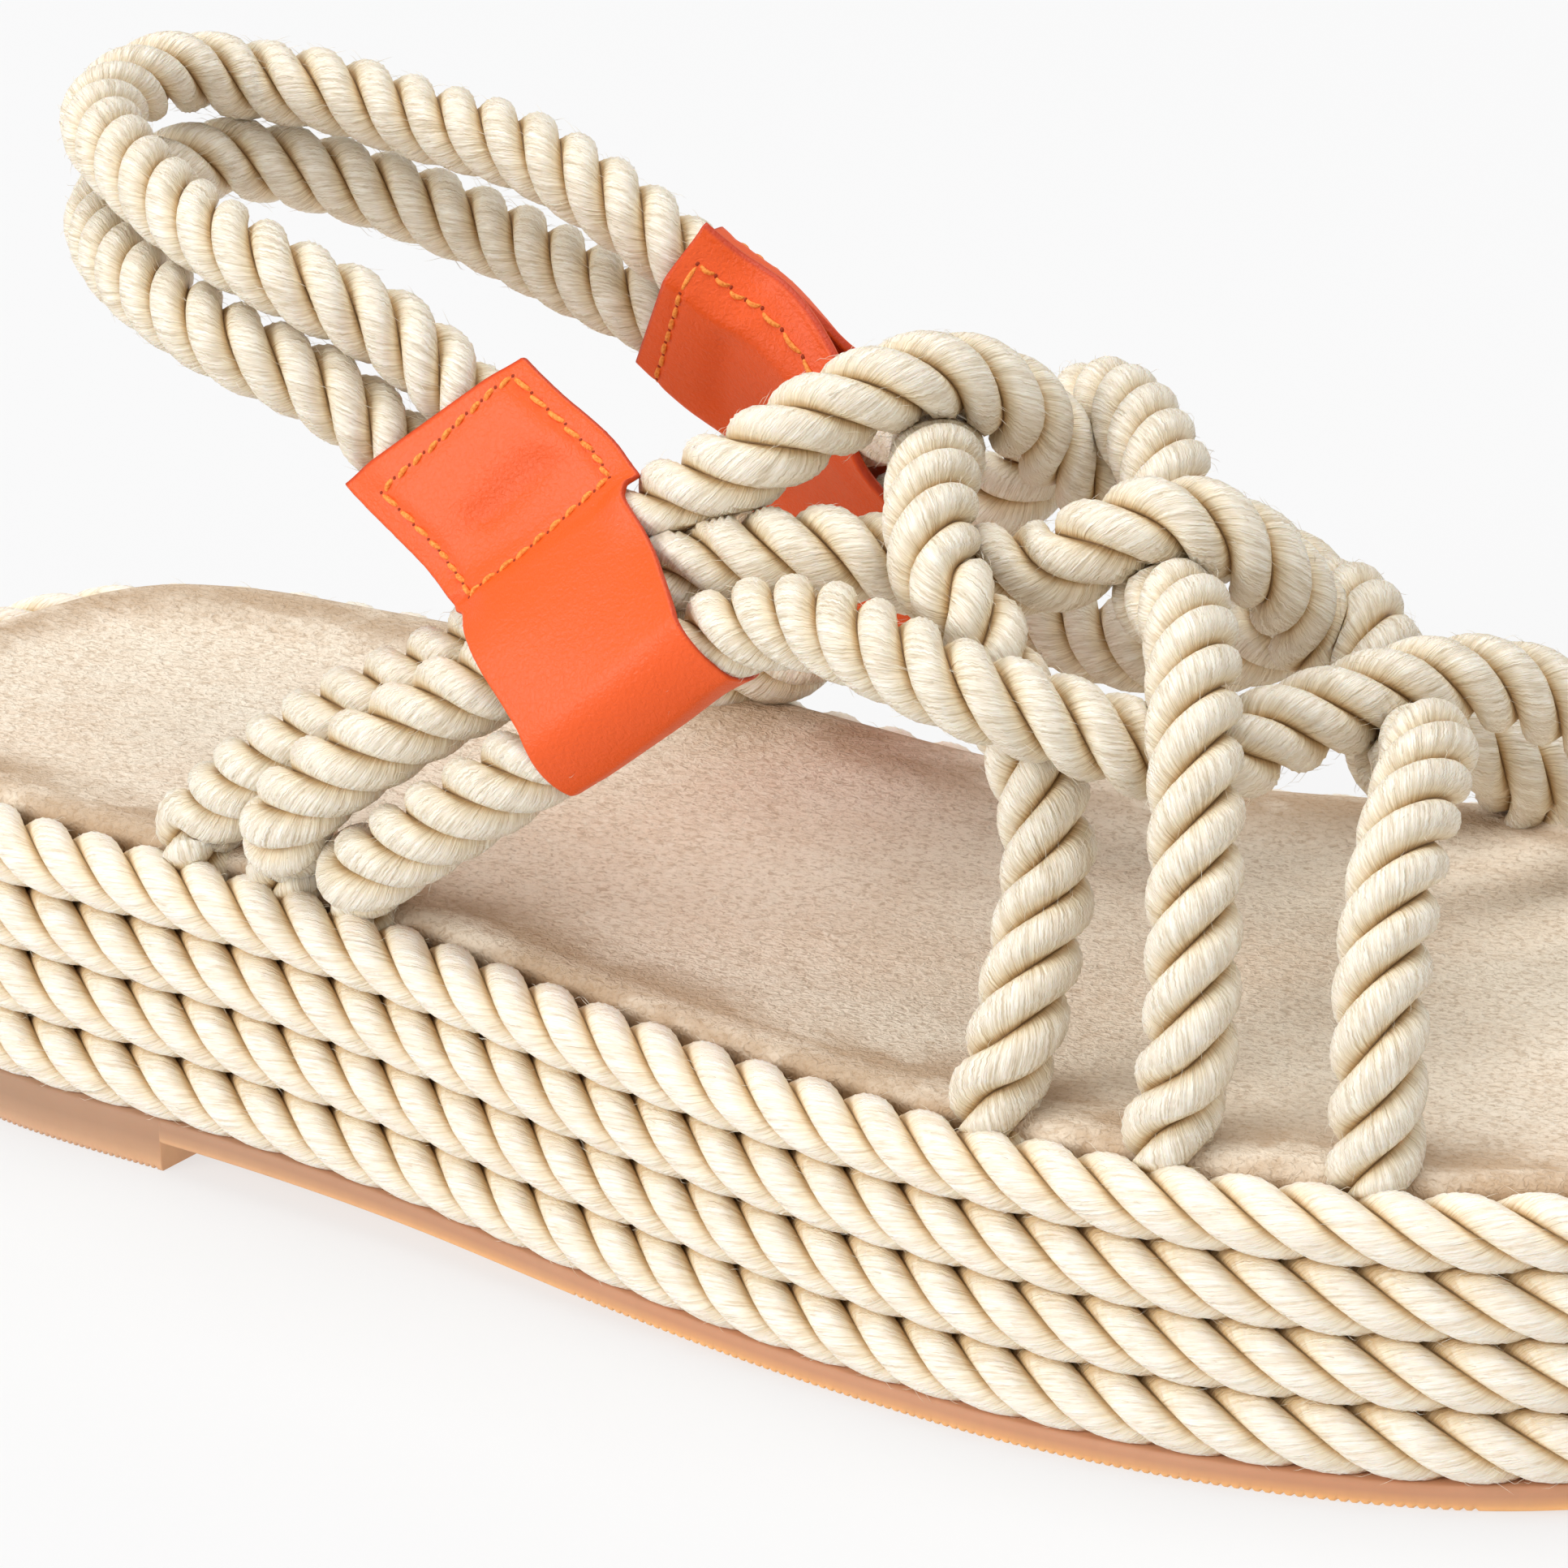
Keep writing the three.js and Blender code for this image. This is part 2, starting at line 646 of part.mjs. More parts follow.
const joined = (solids) => solids.reduce((all, solid) => all.add(solid));
const topRow = soleRopeRows - 1;
const upperRopes = joined(upperPaths.map((path) => ropeSolid(path, upperRopeRadius, upperStepLength)));
const upperRoom = joined(upperPaths.map((path) => ropeRoom(path, upperRopeRadius, upperStepLength)));
const slingRoom = joined(
  Object.values(slingPaths).map((path) => ropeRoom(path, slingRopeRadius, slingStepLength)),
);
const upper = upperRopes.subtract(soleRopeRing(topRow, seam));
const outerTab = tab(outerRoutes, -1).subtract(upperRoom).subtract(slingRoom);
const innerTab = tab(innerRoutes, 1).subtract(upperRoom).subtract(slingRoom);

addPiece('outsole', outsole(), gumRubber);
addPiece('midsole', midsole(), board);
for (let row = 0; row < soleRopeRows; row += 1) {
  addPiece(`sole_rope_${row + 1}`, soleRopeRing(row), soleCord);
}
addPiece('footbed', footbed().subtract(upperRoom), suede);
addPiece('upper', upper, upperCord);
addPiece('strap_tab_outer', outerTab, orangeLeather);
addPiece('strap_tab_inner', innerTab, orangeLeather);
for (const [name, path] of Object.entries(slingPaths)) {
  addPiece(`slingback_rope_${name}`, ropeSolid(path, slingRopeRadius, slingStepLength), upperCord);
}

export default sandal;
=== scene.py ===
"""Rope sandal, right shoe: the dressed model round the CAD frame. Lengths are millimetres until the
meshes are made. x runs from the back of the footbed to the toe, y to the inner side, z up."""

import math

import bpy
import numpy as np
from mathutils import Matrix, Vector


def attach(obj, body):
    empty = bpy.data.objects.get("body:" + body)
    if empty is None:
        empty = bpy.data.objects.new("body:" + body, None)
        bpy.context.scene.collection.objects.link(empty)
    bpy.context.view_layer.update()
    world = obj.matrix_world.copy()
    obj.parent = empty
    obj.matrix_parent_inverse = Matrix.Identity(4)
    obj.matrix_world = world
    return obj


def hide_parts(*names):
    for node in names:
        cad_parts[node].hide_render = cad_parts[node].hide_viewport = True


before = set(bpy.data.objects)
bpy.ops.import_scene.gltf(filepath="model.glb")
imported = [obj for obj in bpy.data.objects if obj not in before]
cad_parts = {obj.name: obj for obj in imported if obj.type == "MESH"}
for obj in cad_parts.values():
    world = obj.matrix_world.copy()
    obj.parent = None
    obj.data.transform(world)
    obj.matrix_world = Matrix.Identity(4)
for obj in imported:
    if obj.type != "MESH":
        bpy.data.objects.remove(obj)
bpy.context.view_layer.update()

MM = 0.001
HEEL_REST_BACK = 26.0  # from the back of the footbed to the frame's origin

# Named sizes, the same as in the CAD source
LENGTH = 248.0
BALL = 86.0
INSTEP = 54.0
SOLE_SHEET = 2.4
HEEL_BLOCK = 2.9
HEEL_BLOCK_LENGTH = 57.0
TOE_SPRING = 5.0
OUTSOLE_REACH = 5.2
SOLE_ROPE = 3.2  # radius
SOLE_ROWS = 4
FOOTBED_THICKNESS = 3.4
FOOTBED_PROUD = 0.8
FOOTBED_ROUND = 1.6
FOOTBED_DISH = 0.9
UPPER_ROPE = 4.25  # radius
SLING_ROPE = 3.85  # radius
TAB_WIDTH = 22.5
TAB_LOOP_WIDTH = 20.5
SEAM = 0.3
SLOPE_START, SLOPE_END, SPRING_START = 0.25, 0.6, 0.82
SPINE_START, SPINE_END, DISH_START, DISH_END = 0.12, 0.86, 0.2, 0.75

# One full turn of a strand
SOLE_LAY = 20.2
UPPER_LAY = 15.8
SLING_LAY = 15.5

OUTLINE = [
    # along, inner, outer
    (0.02, 0.2, 0.168),
    (0.07, 0.284, 0.274),
    (0.15, 0.305, 0.338),
    (0.25, 0.308, 0.365),
    (0.36, 0.292, 0.398),
    (0.47, 0.3, 0.446),
    (0.58, 0.4, 0.485),
    (0.68, 0.493, 0.505),
    (0.78, 0.51, 0.472),
    (0.88, 0.436, 0.366),
    (0.95, 0.316, 0.212),
]
HEEL_ACROSS, TOE_ACROSS = -0.01, 0.07

# Rope routes: along, across, height. The tab entry is the row that a leather tab wraps.
OUTER = [
    {"from": 0.243, "to": 0.665, "tab": 5, "rows": [
        (0.256, -0.36, 0.14), (0.28, -0.368, 0.23), (0.318, -0.36, 0.35), (0.35, -0.338, 0.428),
        (0.377, -0.318, 0.505), (0.419, -0.29, 0.654), (0.461, -0.264, 0.807),
        (0.491, -0.237, 0.893), (0.508, -0.187, 0.953), (0.524, -0.129, 0.99),
        (0.536, -0.063, 0.988), (0.546, 0.002, 0.926), (0.547, 0.073, 0.812),
        (0.562, 0.152, 0.676), (0.593, 0.279, 0.528), (0.63, 0.378, 0.287)]},
    {"from": 0.292, "to": 0.733, "tab": 4, "rows": [
        (0.305, -0.425, 0.167), (0.32, -0.437, 0.246), (0.349, -0.425, 0.348),
        (0.386, -0.387, 0.46), (0.433, -0.351, 0.572), (0.472, -0.288, 0.711),
        (0.5, -0.263, 0.739), (0.525, -0.233, 0.746), (0.559, -0.18, 0.711),
        (0.587, -0.165, 0.731), (0.606, -0.156, 0.747), (0.625, -0.135, 0.8),
        (0.643, -0.098, 0.826), (0.657, -0.062, 0.798), (0.666, -0.016, 0.72),
        (0.666, 0.045, 0.607), (0.669, 0.093, 0.463), (0.685, 0.198, 0.343),
        (0.71, 0.32, 0.204)]},
    {"from": 0.333, "to": 0.811, "tab": 4, "rows": [
        (0.345, -0.435, 0.12), (0.367, -0.442, 0.191), (0.398, -0.436, 0.288),
        (0.427, -0.416, 0.383), (0.464, -0.386, 0.509), (0.501, -0.356, 0.639),
        (0.544, -0.366, 0.702), (0.584, -0.388, 0.696), (0.616, -0.393, 0.667),
        (0.638, -0.381, 0.641), (0.658, -0.353, 0.607), (0.674, -0.321, 0.569),
        (0.695, -0.253, 0.513), (0.707, -0.179, 0.541), (0.721, -0.106, 0.559),
        (0.733, -0.035, 0.569), (0.746, 0.037, 0.55), (0.757, 0.097, 0.506),
        (0.774, 0.187, 0.398), (0.794, 0.291, 0.228)]},
]
INNER = [
    {"from": 0.225, "to": 0.656, "tab": 3, "rows": [
        (0.265, 0.312, 0.213), (0.307, 0.302, 0.382), (0.351, 0.276, 0.525),
        (0.391, 0.24, 0.635), (0.446, 0.166, 0.735), (0.493, 0.056, 0.813),
        (0.53, -0.064, 0.852), (0.552, -0.16, 0.857), (0.57, -0.235, 0.816),
        (0.584, -0.275, 0.761), (0.602, -0.291, 0.709), (0.628, -0.316, 0.548),
        (0.641, -0.337, 0.464), (0.653, -0.378, 0.346), (0.658, -0.43, 0.233),
        (0.66, -0.478, 0.115)]},
    {"from": 0.273, "to": 0.73, "tab": 3, "rows": [
        (0.308, 0.31, 0.184), (0.345, 0.297, 0.319), (0.375, 0.28, 0.4), (0.404, 0.262, 0.464),
        (0.446, 0.236, 0.526), (0.484, 0.218, 0.596), (0.53, 0.21, 0.794), (0.56, 0.155, 0.839),
        (0.586, 0.098, 0.828), (0.61, 0.035, 0.793), (0.635, -0.09, 0.69),
        (0.667, -0.17, 0.715), (0.689, -0.247, 0.682), (0.705, -0.314, 0.61),
        (0.718, -0.367, 0.508), (0.726, -0.408, 0.395), (0.732, -0.442, 0.274),
        (0.735, -0.468, 0.15)]},
    {"from": 0.32, "to": 0.808, "tab": 2, "rows": [
        (0.35, 0.311, 0.143), (0.38, 0.3, 0.244), (0.413, 0.282, 0.322), (0.444, 0.262, 0.36),
        (0.477, 0.244, 0.374), (0.527, 0.233, 0.352), (0.564, 0.225, 0.37),
        (0.601, 0.214, 0.42), (0.642, 0.186, 0.53), (0.679, 0.105, 0.561),
        (0.724, -0.029, 0.431), (0.764, -0.133, 0.535), (0.782, -0.241, 0.496),
        (0.791, -0.312, 0.426), (0.8, -0.38, 0.3), (0.807, -0.42, 0.185)]},
]
SLING_UPPER = [
    (0.399, -0.251, 0.767), (0.379, -0.236, 0.81), (0.359, -0.22, 0.855), (0.321, -0.227, 0.983),
    (0.274, -0.262, 1.084), (0.231, -0.244, 1.128), (0.174, -0.174, 1.18), (0.139, -0.093, 1.196),
    (0.125, 0, 1.203), (0.128, 0.081, 1.203), (0.146, 0.145, 1.17), (0.175, 0.174, 1.155),
    (0.219, 0.192, 1.12), (0.27, 0.186, 1.1), (0.312, 0.174, 1.047), (0.354, 0.173, 0.948),
    (0.366, 0.185, 0.89), (0.377, 0.198, 0.832)]
SLING_LOWER = [
    (0.373, -0.281, 0.674), (0.353, -0.266, 0.717), (0.333, -0.25, 0.762), (0.295, -0.268, 0.886),
    (0.251, -0.285, 0.956), (0.2, -0.244, 1.003), (0.16, -0.163, 1.02), (0.136, -0.08, 1.026),
    (0.127, 0.02, 1.028), (0.136, 0.112, 1.03), (0.163, 0.17, 1), (0.201, 0.207, 0.955),
    (0.245, 0.221, 0.905), (0.287, 0.21, 0.864), (0.334, 0.201, 0.814), (0.345, 0.213, 0.762),
    (0.356, 0.225, 0.71)]
SLING_MOUTH = 2


# Curves
def unit(v):
    return v / np.linalg.norm(v, axis=-1, keepdims=True)


def between(p0, p1, p2, p3, t):
    """A point at share t from p1 to p2 on the centripetal Catmull-Rom curve through all four."""
    d0, d1, d2 = (
        np.maximum(np.sum((b - a) ** 2, axis=1, keepdims=True) ** 0.25, 1e-6)
        for a, b in ((p0, p1), (p1, p2), (p2, p3))
    )
    m1 = ((p1 - p0) / d0 - (p2 - p0) / (d0 + d1) + (p2 - p1) / d1) * d1
    m2 = ((p2 - p1) / d1 - (p3 - p1) / (d1 + d2) + (p3 - p2) / d2) * d1
    return (
        p1 + m1 * t
        + (-3 * p1 + 3 * p2 - 2 * m1 - m2) * t**2
        + (2 * p1 - 2 * p2 + m1 + m2) * t**3
    )


def curve_at(points, params, closed=False):
    """The curve through points, at parameters counted in spans."""
    pts = np.asarray(points, float)
    count = len(pts)
    spans = count if closed else count - 1
    params = np.asarray(params, float)
    index = np.clip(np.floor(params).astype(int), 0, spans - 1)
    t = (params - index)[:, None]
    if closed:
        p0, p1, p2, p3 = (pts[(index + k) % count] for k in (-1, 0, 1, 2))
    else:
        ext = np.vstack([2 * pts[0] - pts[1], pts, 2 * pts[-1] - pts[-2]])
        p0, p1, p2, p3 = (ext[index + k] for k in (0, 1, 2, 3))
    return between(p0, p1, p2, p3, t)


def dense(points, closed=False, per_span=40):
    spans = len(points) if closed else len(points) - 1
    params = np.arange(spans * per_span + (0 if closed else 1)) / per_span
    return curve_at(points, params, closed)


def lengths_of(line):
    steps = np.linalg.norm(np.diff(line, axis=0), axis=1)
    return np.concatenate([[0], np.cumsum(steps)])


def at_length(line, lengths, where):
    return np.column_stack([np.interp(where, lengths, line[:, k]) for k in range(3)])


def smooth(low, high, value):
    t = np.clip((value - low) / (high - low), 0, 1)
    return t * t * (3 - 2 * t)


# Heights along the sole
def sheet_bottom(x):
    share = np.asarray(x, float) / LENGTH
    spring = np.maximum((share - SPRING_START) / (1 - SPRING_START), 0)
    return HEEL_BLOCK * (1 - smooth(SLOPE_START, SLOPE_END, share)) + TOE_SPRING * spring**2


def row_centre(x, row):
    return sheet_bottom(x) + SOLE_SHEET + SEAM + SOLE_ROPE + row * (2 * SOLE_ROPE + SEAM)


def footbed_top(x):
    return row_centre(x, SOLE_ROWS - 1) + SOLE_ROPE + FOOTBED_PROUD


EDGE_LEVEL = float(footbed_top(LENGTH * SLOPE_END))

outline_points = (
    [(0, HEEL_ACROSS * BALL, 0)]
    + [(a * LENGTH, -o * BALL, 0) for a, i, o in OUTLINE]
    + [(LENGTH, TOE_ACROSS * BALL, 0)]
    + [(a * LENGTH, i * BALL, 0) for a, i, o in reversed(OUTLINE)]
)
outline_line = dense(outline_points, closed=True, per_span=80)
outline_line = np.vstack([outline_line, outline_line[:1]])


def footprint(offset, count):
    """Points round the outline, moved outwards, and the outward directions."""
    lengths = lengths_of(outline_line)
    where = np.arange(count) / count * lengths[-1]
    step = lengths[-1] * 1e-3
    here, ahead, behind = (
        at_length(outline_line, lengths, (where + way) % lengths[-1]) for way in (0, step, -step)
    )
    tangent = unit(ahead - behind)
    out = np.column_stack([tangent[:, 1], -tangent[:, 0], np.zeros(count)])
    return here + out * offset, out


def half_width(x, side):
    rows = [(0, 0, 0), *OUTLINE, (1, 0, 0)]
    column = 1 if side > 0 else 2
    return float(np.interp(x / LENGTH, [r[0] for r in rows], [r[column] for r in rows])) * BALL


# Ropes
ROOT_END = 3.6  # how far under the footbed's top a root ends, out of sight


def place(rows):
    r = np.asarray(rows, float)
    return np.column_stack([r[:, 0] * LENGTH, r[:, 1] * BALL, EDGE_LEVEL + r[:, 2] * INSTEP])


def root_points(along, side):
    x = along * LENGTH
    top = float(footbed_top(x))
    rows = ((0.12, 0.5 * UPPER_ROPE), (0.0, -0.3 * FOOTBED_THICKNESS), (0.0, -ROOT_END))
    return np.array([(x, side * (half_width(x, side) - i * UPPER_ROPE), top + z) for i, z in rows])


def route_points(route, side):
    return np.vstack([
        root_points(route["from"], side)[::-1],
        place(route["rows"]),
        root_points(route["to"], -side),
    ])


def minimal_frames(centres):
    """Directions across a line that turn as little as they can along it."""
    tangents = unit(np.gradient(centres, axis=0))
    first = np.cross(tangents[0], (0.0, 0.0, 1.0))
    if np.linalg.norm(first) < 0.2:
        first = np.cross(tangents[0], (1.0, 0.0, 0.0))
    across = [first / np.linalg.norm(first)]
    for i in range(len(centres) - 1):
        v1 = centres[i + 1] - centres[i]
        c1 = v1 @ v1
        left_n = across[-1] - 2 / c1 * (v1 @ across[-1]) * v1
        left_t = tangents[i] - 2 / c1 * (v1 @ tangents[i]) * v1
        v2 = tangents[i + 1] - left_t
        c2 = v2 @ v2
        across.append(left_n if c2 < 1e-12 else left_n - 2 / c2 * (v2 @ left_n) * v2)
    across = unit(np.array(across))
    return tangents, across, np.cross(tangents, across)


def skin_faces(rings, sides, flip=False, ends=True):
    """Quads between rings of points, with a face over each end."""
    i = np.arange(rings - 1)[:, None] * sides
    j = np.arange(sides)[None, :]
    k = (j + 1) % sides
    corners = [i + j, i + k, i + sides + k, i + sides + j]
    if flip:
        corners = [corners[0], *corners[:0:-1]]
    faces = np.stack(corners, axis=-1).reshape(-1, 4).tolist()
    if ends:
        first = list(range(sides))
        last = list(range((rings - 1) * sides, rings * sides))
        faces += [first, last[::-1]] if flip else [first[::-1], last]
    return faces


STRAND_SHAPE = 2.9  # how square a strand's bulge is
GROOVE_DEPTH = 0.46  # as a share of the rope's radius
FIBRE_TURN = 1.16  # how far the fibres turn back, as a share of the strands' own turn
FIBRE_STRETCH = 12.0  # how much longer than wide the streaks of fibre are
STRAND_OFFSET, ROPE_OFFSET = 7.3, 5.1  # these keep strands and ropes from sharing their streaks
PRESS_REACH = 1.15  # how near a rope's neighbours are looked for, as a share of both radii
PRESS_SHADE, PRESS_GAIN, PRESS_DEEPEST = 0.6, 2.0, 0.97  # how strongly a pressed place gets painted shade, as in the grooves
# Points across a strand, as shares of half its width, close together at the grooves
STRAND_POINTS = np.array([-1, -0.94, -0.83, -0.66, -0.4, -0.13, 0.13, 0.4, 0.66, 0.83, 0.94])


class Rope:
    """A three-strand rope along a line of centres."""

    def __init__(self, centres, radius, lay, phase=0.0, closed=False, across=None):
        self.centres = centres
        self.radius = radius
        self.closed = closed
        count = len(centres)
        ring = np.vstack([centres, centres[:1]]) if closed else centres
        self.where = lengths_of(ring)[:count]
        total = lengths_of(ring)[-1]
        if closed:
            lay = total / round(total / lay)
            ends = np.vstack([centres[-1:], centres, centres[:1]])
            self.tangent = unit(ends[2:] - ends[:-2])
            self.n = unit(across - self.tangent * np.sum(across * self.tangent, axis=1)[:, None])
            self.b = np.cross(self.tangent, self.n)
        else:
            self.tangent, self.n, self.b = minimal_frames(centres)
        turn = (2 * math.pi * self.where / lay)[:, None, None]
        strand = np.arange(3)[None, :, None]
        share = STRAND_POINTS[None, None, :]
        angle = turn + phase + (strand * 2 + share) * math.pi / 3
        bulge = radius * (1 - GROOVE_DEPTH * np.abs(share) ** STRAND_SHAPE)
        self.out = (
            np.cos(angle)[..., None] * self.n[:, None, None]
            + np.sin(angle)[..., None] * self.b[:, None, None]
        )
        self.points = centres[:, None, None] + self.out * bulge[..., None]
        own = radius * (share * math.pi / 3 + turn * FIBRE_TURN)
        self.fibre = np.stack([
            own + 0 * angle,
            strand * STRAND_OFFSET + phase * ROPE_OFFSET + 0 * angle,
            turn * lay / (2 * math.pi) / FIBRE_STRETCH + 0 * angle,
        ], axis=-1)
        self.lap = (radius * 2 * math.pi * FIBRE_TURN * total / lay, 0, total / FIBRE_STRETCH)
        # Painted shade towards each strand's edges, darkest in the grooves between strands
        self.groove_shade = np.broadcast_to(np.abs(share), angle.shape).copy()
        self.sides = 3 * len(STRAND_POINTS)

    def press(self, others, radii, margin=0.04, least=0.4):
        """Flattens the rope where it lies against others: each keeps to its own side. The pressed places
        get painted shade.
        """
        flat = self.points.reshape(len(self.centres), -1, 3)
        pressed = np.zeros(flat.shape[:2])
        for i, c in enumerate(self.centres):
            gap = others - c
            size = np.linalg.norm(gap, axis=1)
            near = size < PRESS_REACH * (self.radius + radii)
            if not near.any():
                continue
            w, size, other = gap[near], size[near], radii[near]
            v = flat[i] - c
            toward = v @ w.T
            plane = (size**2 + self.radius**2 - other**2) / 2 - margin * size
            with np.errstate(divide="ignore", invalid="ignore"):
                share = np.where(toward > 1e-9, plane / toward, 9)
            share = np.clip(share.min(axis=1), least, 1)
            flat[i] = c + v * share[:, None]
            pressed[i] = 1 - share
        self.points = flat.reshape(self.points.shape)
        # Painted shade where the rope presses against its neighbours
        shade = PRESS_SHADE + pressed.reshape(self.groove_shade.shape) * PRESS_GAIN
        deeper = np.maximum(self.groove_shade, np.minimum(shade, PRESS_DEEPEST))
        self.groove_shade = np.where(shade > PRESS_SHADE + 0.02, deeper, self.groove_shade)

    def mesh(self):
        points, fibre, groove_shade = self.points, self.fibre, self.groove_shade
        if self.closed:
            points = np.concatenate([points, points[:1]])
            fibre = np.concatenate([fibre, fibre[:1] + self.lap])
            groove_shade = np.concatenate([groove_shade, groove_shade[:1]])
        faces = skin_faces(len(points), self.sides, ends=not self.closed)
        return points.reshape(-1, 3), faces, fibre.reshape(-1, 3), groove_shade.reshape(-1)


def to_row(points):
    return (np.asarray(points) - (HEEL_REST_BACK, 0, 0)) * MM


def make_piece(name, parts, material, node=None, attributes=()):
    """One piece from parts of (points, faces, *attribute values), riding on the frame."""
    points, faces, base = [], [], 0
    for part in parts:
        points.append(part[0])
        faces.extend([[base + v for v in face] for face in part[1]])
        base += len(part[0])
    mesh = bpy.data.meshes.new(name)
    mesh.from_pydata(to_row(np.vstack(points)).tolist(), [], faces)
    for index, (attribute, kind) in enumerate(attributes):
        data = mesh.attributes.new(attribute, kind, "POINT")
        values = np.concatenate([part[2 + index] for part in parts]).astype(np.float32)
        data.data.foreach_set("vector" if kind == "FLOAT_VECTOR" else "value", values.ravel())
    mesh.polygons.foreach_set("use_smooth", [True] * len(mesh.polygons))
    mesh.validate()
    mesh.materials.append(material)
    piece = bpy.data.objects.new(name, mesh)
    bpy.context.scene.collection.objects.link(piece)
    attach(piece, "root")
    if node:
        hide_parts(node)
    return piece


# Materials
def socket(node, name, value):
    node.inputs[name].default_value = value


class Nodes:
    """A procedural material's nodes."""

    def __init__(self, name, **sockets):
        self.material = bpy.data.materials.new(name)
        self.material.use_nodes = True
        self.tree = self.material.node_tree
        self.shader = self.tree.nodes["Principled BSDF"]
        for key, value in sockets.items():
            socket(self.shader, key.replace("_", " "), value)

    def add(self, kind, **props):
        node = self.tree.nodes.new(kind)
        for key, value in props.items():
            setattr(node, key, value)
        return node

    def link(self, out, target):
        self.tree.links.new(out, target)

    def attribute(self, name):
        return self.add("ShaderNodeAttribute", attribute_name=name)

    def place(self, stretch=(1, 1, 1)):
        coord = self.add("ShaderNodeTexCoord")
        mapping = self.add("ShaderNodeMapping")
        socket(mapping, "Scale", stretch)
        self.link(coord.outputs["Object"], mapping.inputs["Vector"])
        return mapping.outputs["Vector"]

    def noise(self, vector, scale, detail=2.0, roughness=0.5, distortion=0.0):
        node = self.add("ShaderNodeTexNoise")
        names = ("Scale", "Detail", "Roughness", "Distortion")
        for key, value in zip(names, (scale, detail, roughness, distortion)):
            socket(node, key, value)
        self.link(vector, node.inputs["Vector"])
        return node.outputs["Fac"]

    def ramp(self, value, stops):
        node = self.add("ShaderNodeValToRGB")
        elements = node.color_ramp.elements
        while len(elements) < len(stops):
            elements.new(0.5)
        for element, (position, colour) in zip(elements, stops):
            element.position = position
            element.color = (*colour, 1) if len(colour) == 3 else colour
        self.link(value, node.inputs["Fac"])
        return node.outputs["Color"]

    def grey(self, value, low, high, at=(0.3, 0.7)):
        return self.ramp(value, [(at[0], (low,) * 3), (at[1], (high,) * 3)])

    def mix(self, factor, a, b, mode="MIX"):
        node = self.add("ShaderNodeMix", data_type="RGBA", blend_type=mode)
        for name, value in (("Factor", factor), ("A", a), ("B", b)):
            plug = [s for s in node.inputs if s.name == name and s.enabled][0]
            if isinstance(value, bpy.types.NodeSocket):
                self.link(value, plug)
            else:
                plug.default_value = value if name == "Factor" else (*value, 1)
        return [s for s in node.outputs if s.enabled][0]

    def bump(self, height, strength, distance, under=None):
        node = self.add("ShaderNodeBump")
        if isinstance(strength, bpy.types.NodeSocket):
            self.link(strength, node.inputs["Strength"])
        else:
            socket(node, "Strength", strength)
        socket(node, "Distance", distance)
        self.link(height, node.inputs["Height"])
        if under is not None:
            self.link(under, node.inputs["Normal"])
        return node.outputs["Normal"]

    def set(self, name, out):
        self.link(out, self.shader.inputs[name])


def rope_material(name, tones, groove_shade, scale, glint_and_streak, roughness, bump):
    """Twisted fibre: streaks along the rope between three tones, with painted highlights on thin streaks
    and painted ochre shade towards the grooves.
    """
    m = Nodes(
        name, Roughness=roughness, Subsurface_Weight=0.2, Subsurface_Scale=0.0012,
        Subsurface_Radius=(1.0, 0.62, 0.3),
    )
    fibre = m.attribute("fibre").outputs["Vector"]
    streak = m.noise(fibre, scale, 2, 0.6, 0.5)
    thin = m.noise(fibre, scale * 2.3, 1, 0.5, 0.3)
    tuft = m.noise(fibre, scale * 0.3, 2, 0.5, 0.4)
    large = m.noise(m.place(), 40, 2, 0.5)
    dark, middle, light = tones
    base = m.ramp(streak, [(0.3, dark), (0.47, middle), (0.66, light)])
    # Painted highlights: thin streaks lifted towards near-white glints; the same streaks also darken a
    # little as fibre tone
    base = m.mix(m.grey(thin, 0, glint_and_streak, (0.55, 0.72)), base, (0.98, 0.94, 0.84))
    base = m.mix(m.grey(thin, 0.5 * glint_and_streak, 0, (0.3, 0.45)), base, dark)
    base = m.mix(m.grey(tuft, 0.35, 0, (0.32, 0.55)), base, dark)
    base = m.mix(m.grey(large, 0, 0.2), base, light)
    depth = m.attribute("groove_shade").outputs["Fac"]
    # Painted ochre shade, darkest in the grooves and where ropes press or rows meet
    shade = m.ramp(depth, [
        (0.42, (1, 1, 1)), (0.78, (0.96, 0.90, 0.78)), (0.93, (0.75, 0.57, 0.34)), (1.0, groove_shade),
    ])
    m.set("Base Color", m.mix(1.0, base, shade, "MULTIPLY"))
    m.set("Roughness", m.grey(thin, roughness + 0.12, roughness - 0.08))
    m.set("Normal", m.bump(streak, bump, 0.0003, m.bump(tuft, 0.35, 0.0008)))
    return m.material


upper_cord = rope_material(
    "upper cord", ((0.55, 0.44, 0.29), (0.81, 0.72, 0.58), (0.95, 0.90, 0.79)), (0.34, 0.17, 0.05),
    4.6, 0.75, 0.42, 0.6,
)
sole_cord = rope_material(
    "sole cord", ((0.72, 0.59, 0.43), (0.90, 0.81, 0.68), (0.97, 0.92, 0.83)), (0.48, 0.31, 0.15),
    3.6, 0.6, 0.7, 0.7,
)


